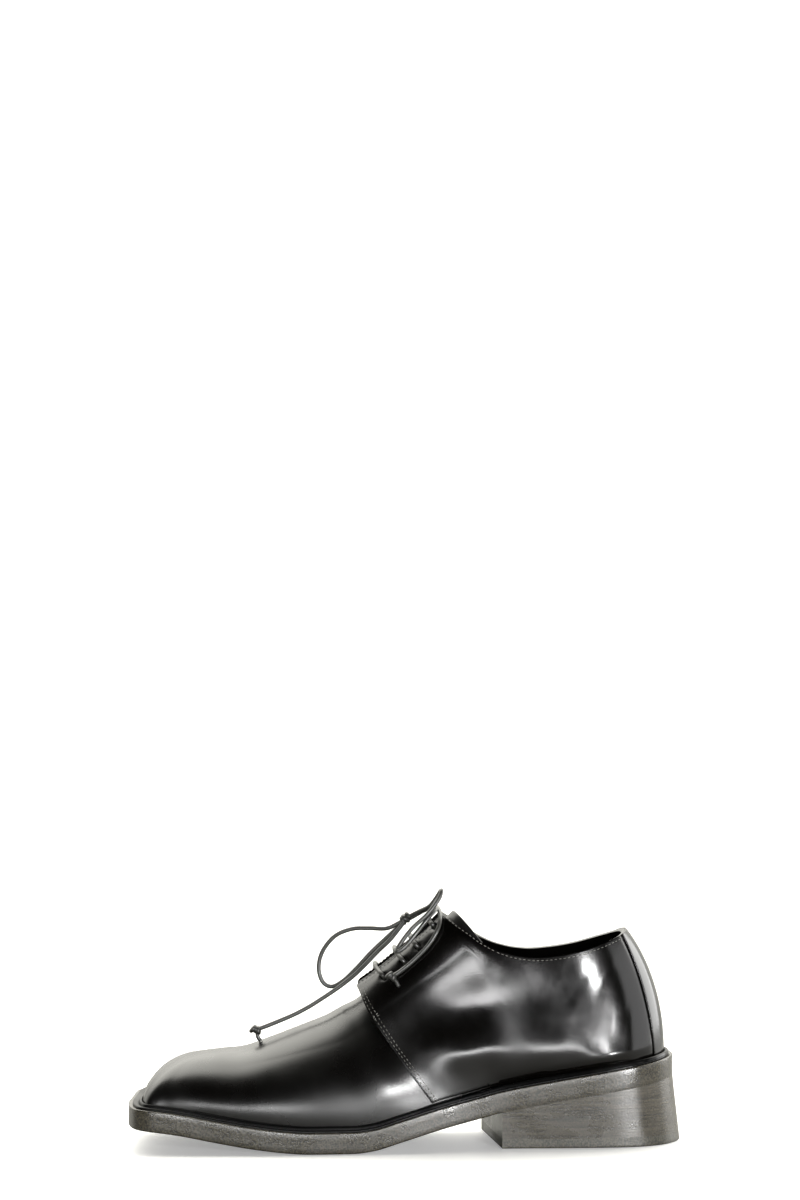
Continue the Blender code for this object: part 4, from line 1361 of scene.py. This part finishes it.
def barTack(name, side):
    # short rows of stitches where the facing's seam begins
    v = np.full(40, stitchSettings["tackRise"])
    sides = np.full(40, float(side))
    s = quarterSettings["seam"] + np.linspace(0.05, 0.6, 40)
    rim = rimAngle(s, sides)
    for row in (0, 1):
        angle = rim * (v + row * stitchSettings["tackStep"])
        path, normals = surfacePath(s, sides, angle, stitchSettings["tackLift"])
        stitchRow(f"{name}_{row + 1}", path, normals)


firstInset, secondInset = stitchSettings["seamInsets"]
facingStart, collarStart = stitchSettings["facingStart"], stitchSettings["collarStart"]
for side, word in ((-1, "lateral"), (1, "medial")):
    barTack(f"tack_{word}", side)
    rimRow(f"facing_stitches_{word}", facingStart, collarStart, side, stitchSettings["edgeInset"])
    rimRow(f"collar_stitches_{word}", collarStart, last - 0.02, side, stitchSettings["edgeInset"])
    seamRow(f"seam_stitches_{word}", side, firstInset)
    seamRow(f"seam_second_stitches_{word}", side, secondInset)
print("stitches made")


# Floor and light
stageSettings = {
    "floorSize": 12,
    "floorDrop": 0.2 * mm,
    "floor": (0.86, 0.86, 0.85),
    "floorSeenInLeather": (0.26, 0.26, 0.25),
    "lights": (
        # name, place, target, width, height, power
        ("front", (-0.31, -1.78, 0.18), (-0.02, 0, 0.06), 0.56, 0.31, 9.5),
        ("frontLow", (0.27, -1.76, 0.065), (0.04, 0, 0.05), 0.42, 0.12, 3.2),
        ("right", (0.603, -1.44, 0.365), (0.09, 0, 0.06), 0.14, 0.18, 9.0),
        ("rightFoot", (0.84, -1.34, 0.045), (0.1, 0, 0.03), 0.11, 0.08, 9.0),
        ("rightPanel", (1.5, -0.4, 0.35), (0.1, 0, 0.05), 1.2, 0.8, 6.5),
        ("rightBack", (1.4, 0.55, 0.35), (0.1, 0, 0.05), 0.8, 0.7, 9.0),
    ),
    # studio behind the shoe: where it starts and is full, and its strength low and high
    "sweep": (0.0, 0.3),
    "sweepStrength": (1.3, 5.6),
    "sweepHeight": (0.1, 0.9),
    "sweepColour": (1, 0.985, 0.91, 1),
    "floorGlow": 0.3,
}
clearSelection()
bpy.ops.mesh.primitive_plane_add(
    size=stageSettings["floorSize"], location=(0, 0, -stageSettings["floorDrop"])
)
floor = bpy.context.object
floor.name = "floor"
floorMaterial = bpy.data.materials.new("floor_look")
floorMaterial.use_nodes = True
floorTree = floorMaterial.node_tree
toCamera = addNode(floorTree, "LightPath")["Is Camera Ray"]
tints = {
    0: toCamera,
    6: (*stageSettings["floorSeenInLeather"], 1),
    7: (*stageSettings["floor"], 1),
}
glow = {0: toCamera, 1: stageSettings["floorGlow"]}
floorLooks = {
    "Roughness": 0.5,
    "Base Color": addNode(floorTree, "Mix", tints, data_type="RGBA")[2],
    "Emission Color": (1, 1, 1, 1),
    "Emission Strength": addNode(floorTree, "Math", glow, operation="MULTIPLY")[0],
}
setInputs(floorTree, floorTree.nodes["Principled BSDF"], floorLooks)
floor.data.materials.append(floorMaterial)
for name, place, target, width, height, power in stageSettings["lights"]:
    bpy.ops.object.light_add(type="AREA", location=place)
    light = bpy.context.object
    light.name = name
    light.data.shape = "RECTANGLE"
    light.data.size = width
    light.data.size_y = height
    light.data.energy = power
    aim = Vector(target) - Vector(place)
    light.rotation_euler = aim.to_track_quat("-Z", "Y").to_euler()
world = bpy.data.worlds.new("studio")
bpy.context.scene.world = world
world.use_nodes = True
worldTree = world.node_tree
generated = addNode(worldTree, "TexCoord")["Generated"]
direction = addNode(worldTree, "SeparateXYZ", {0: generated})


def worldRamp(axis, ends, values):
    inputs = dict(enumerate((direction[axis], *ends, *values)))
    return addNode(worldTree, "MapRange", inputs, interpolation_type="SMOOTHSTEP")[0]


sweep = worldRamp("Y", stageSettings["sweep"], (0, 1))
height = worldRamp("Z", stageSettings["sweepHeight"], stageSettings["sweepStrength"])
sweepLooks = {
    "Color": stageSettings["sweepColour"],
    "Strength": addNode(worldTree, "Math", {0: sweep, 1: height}, operation="MULTIPLY")[0],
}
setInputs(worldTree, worldTree.nodes["Background"], sweepLooks)
bpy.context.scene.view_settings.view_transform = "Standard"
print("stage made")
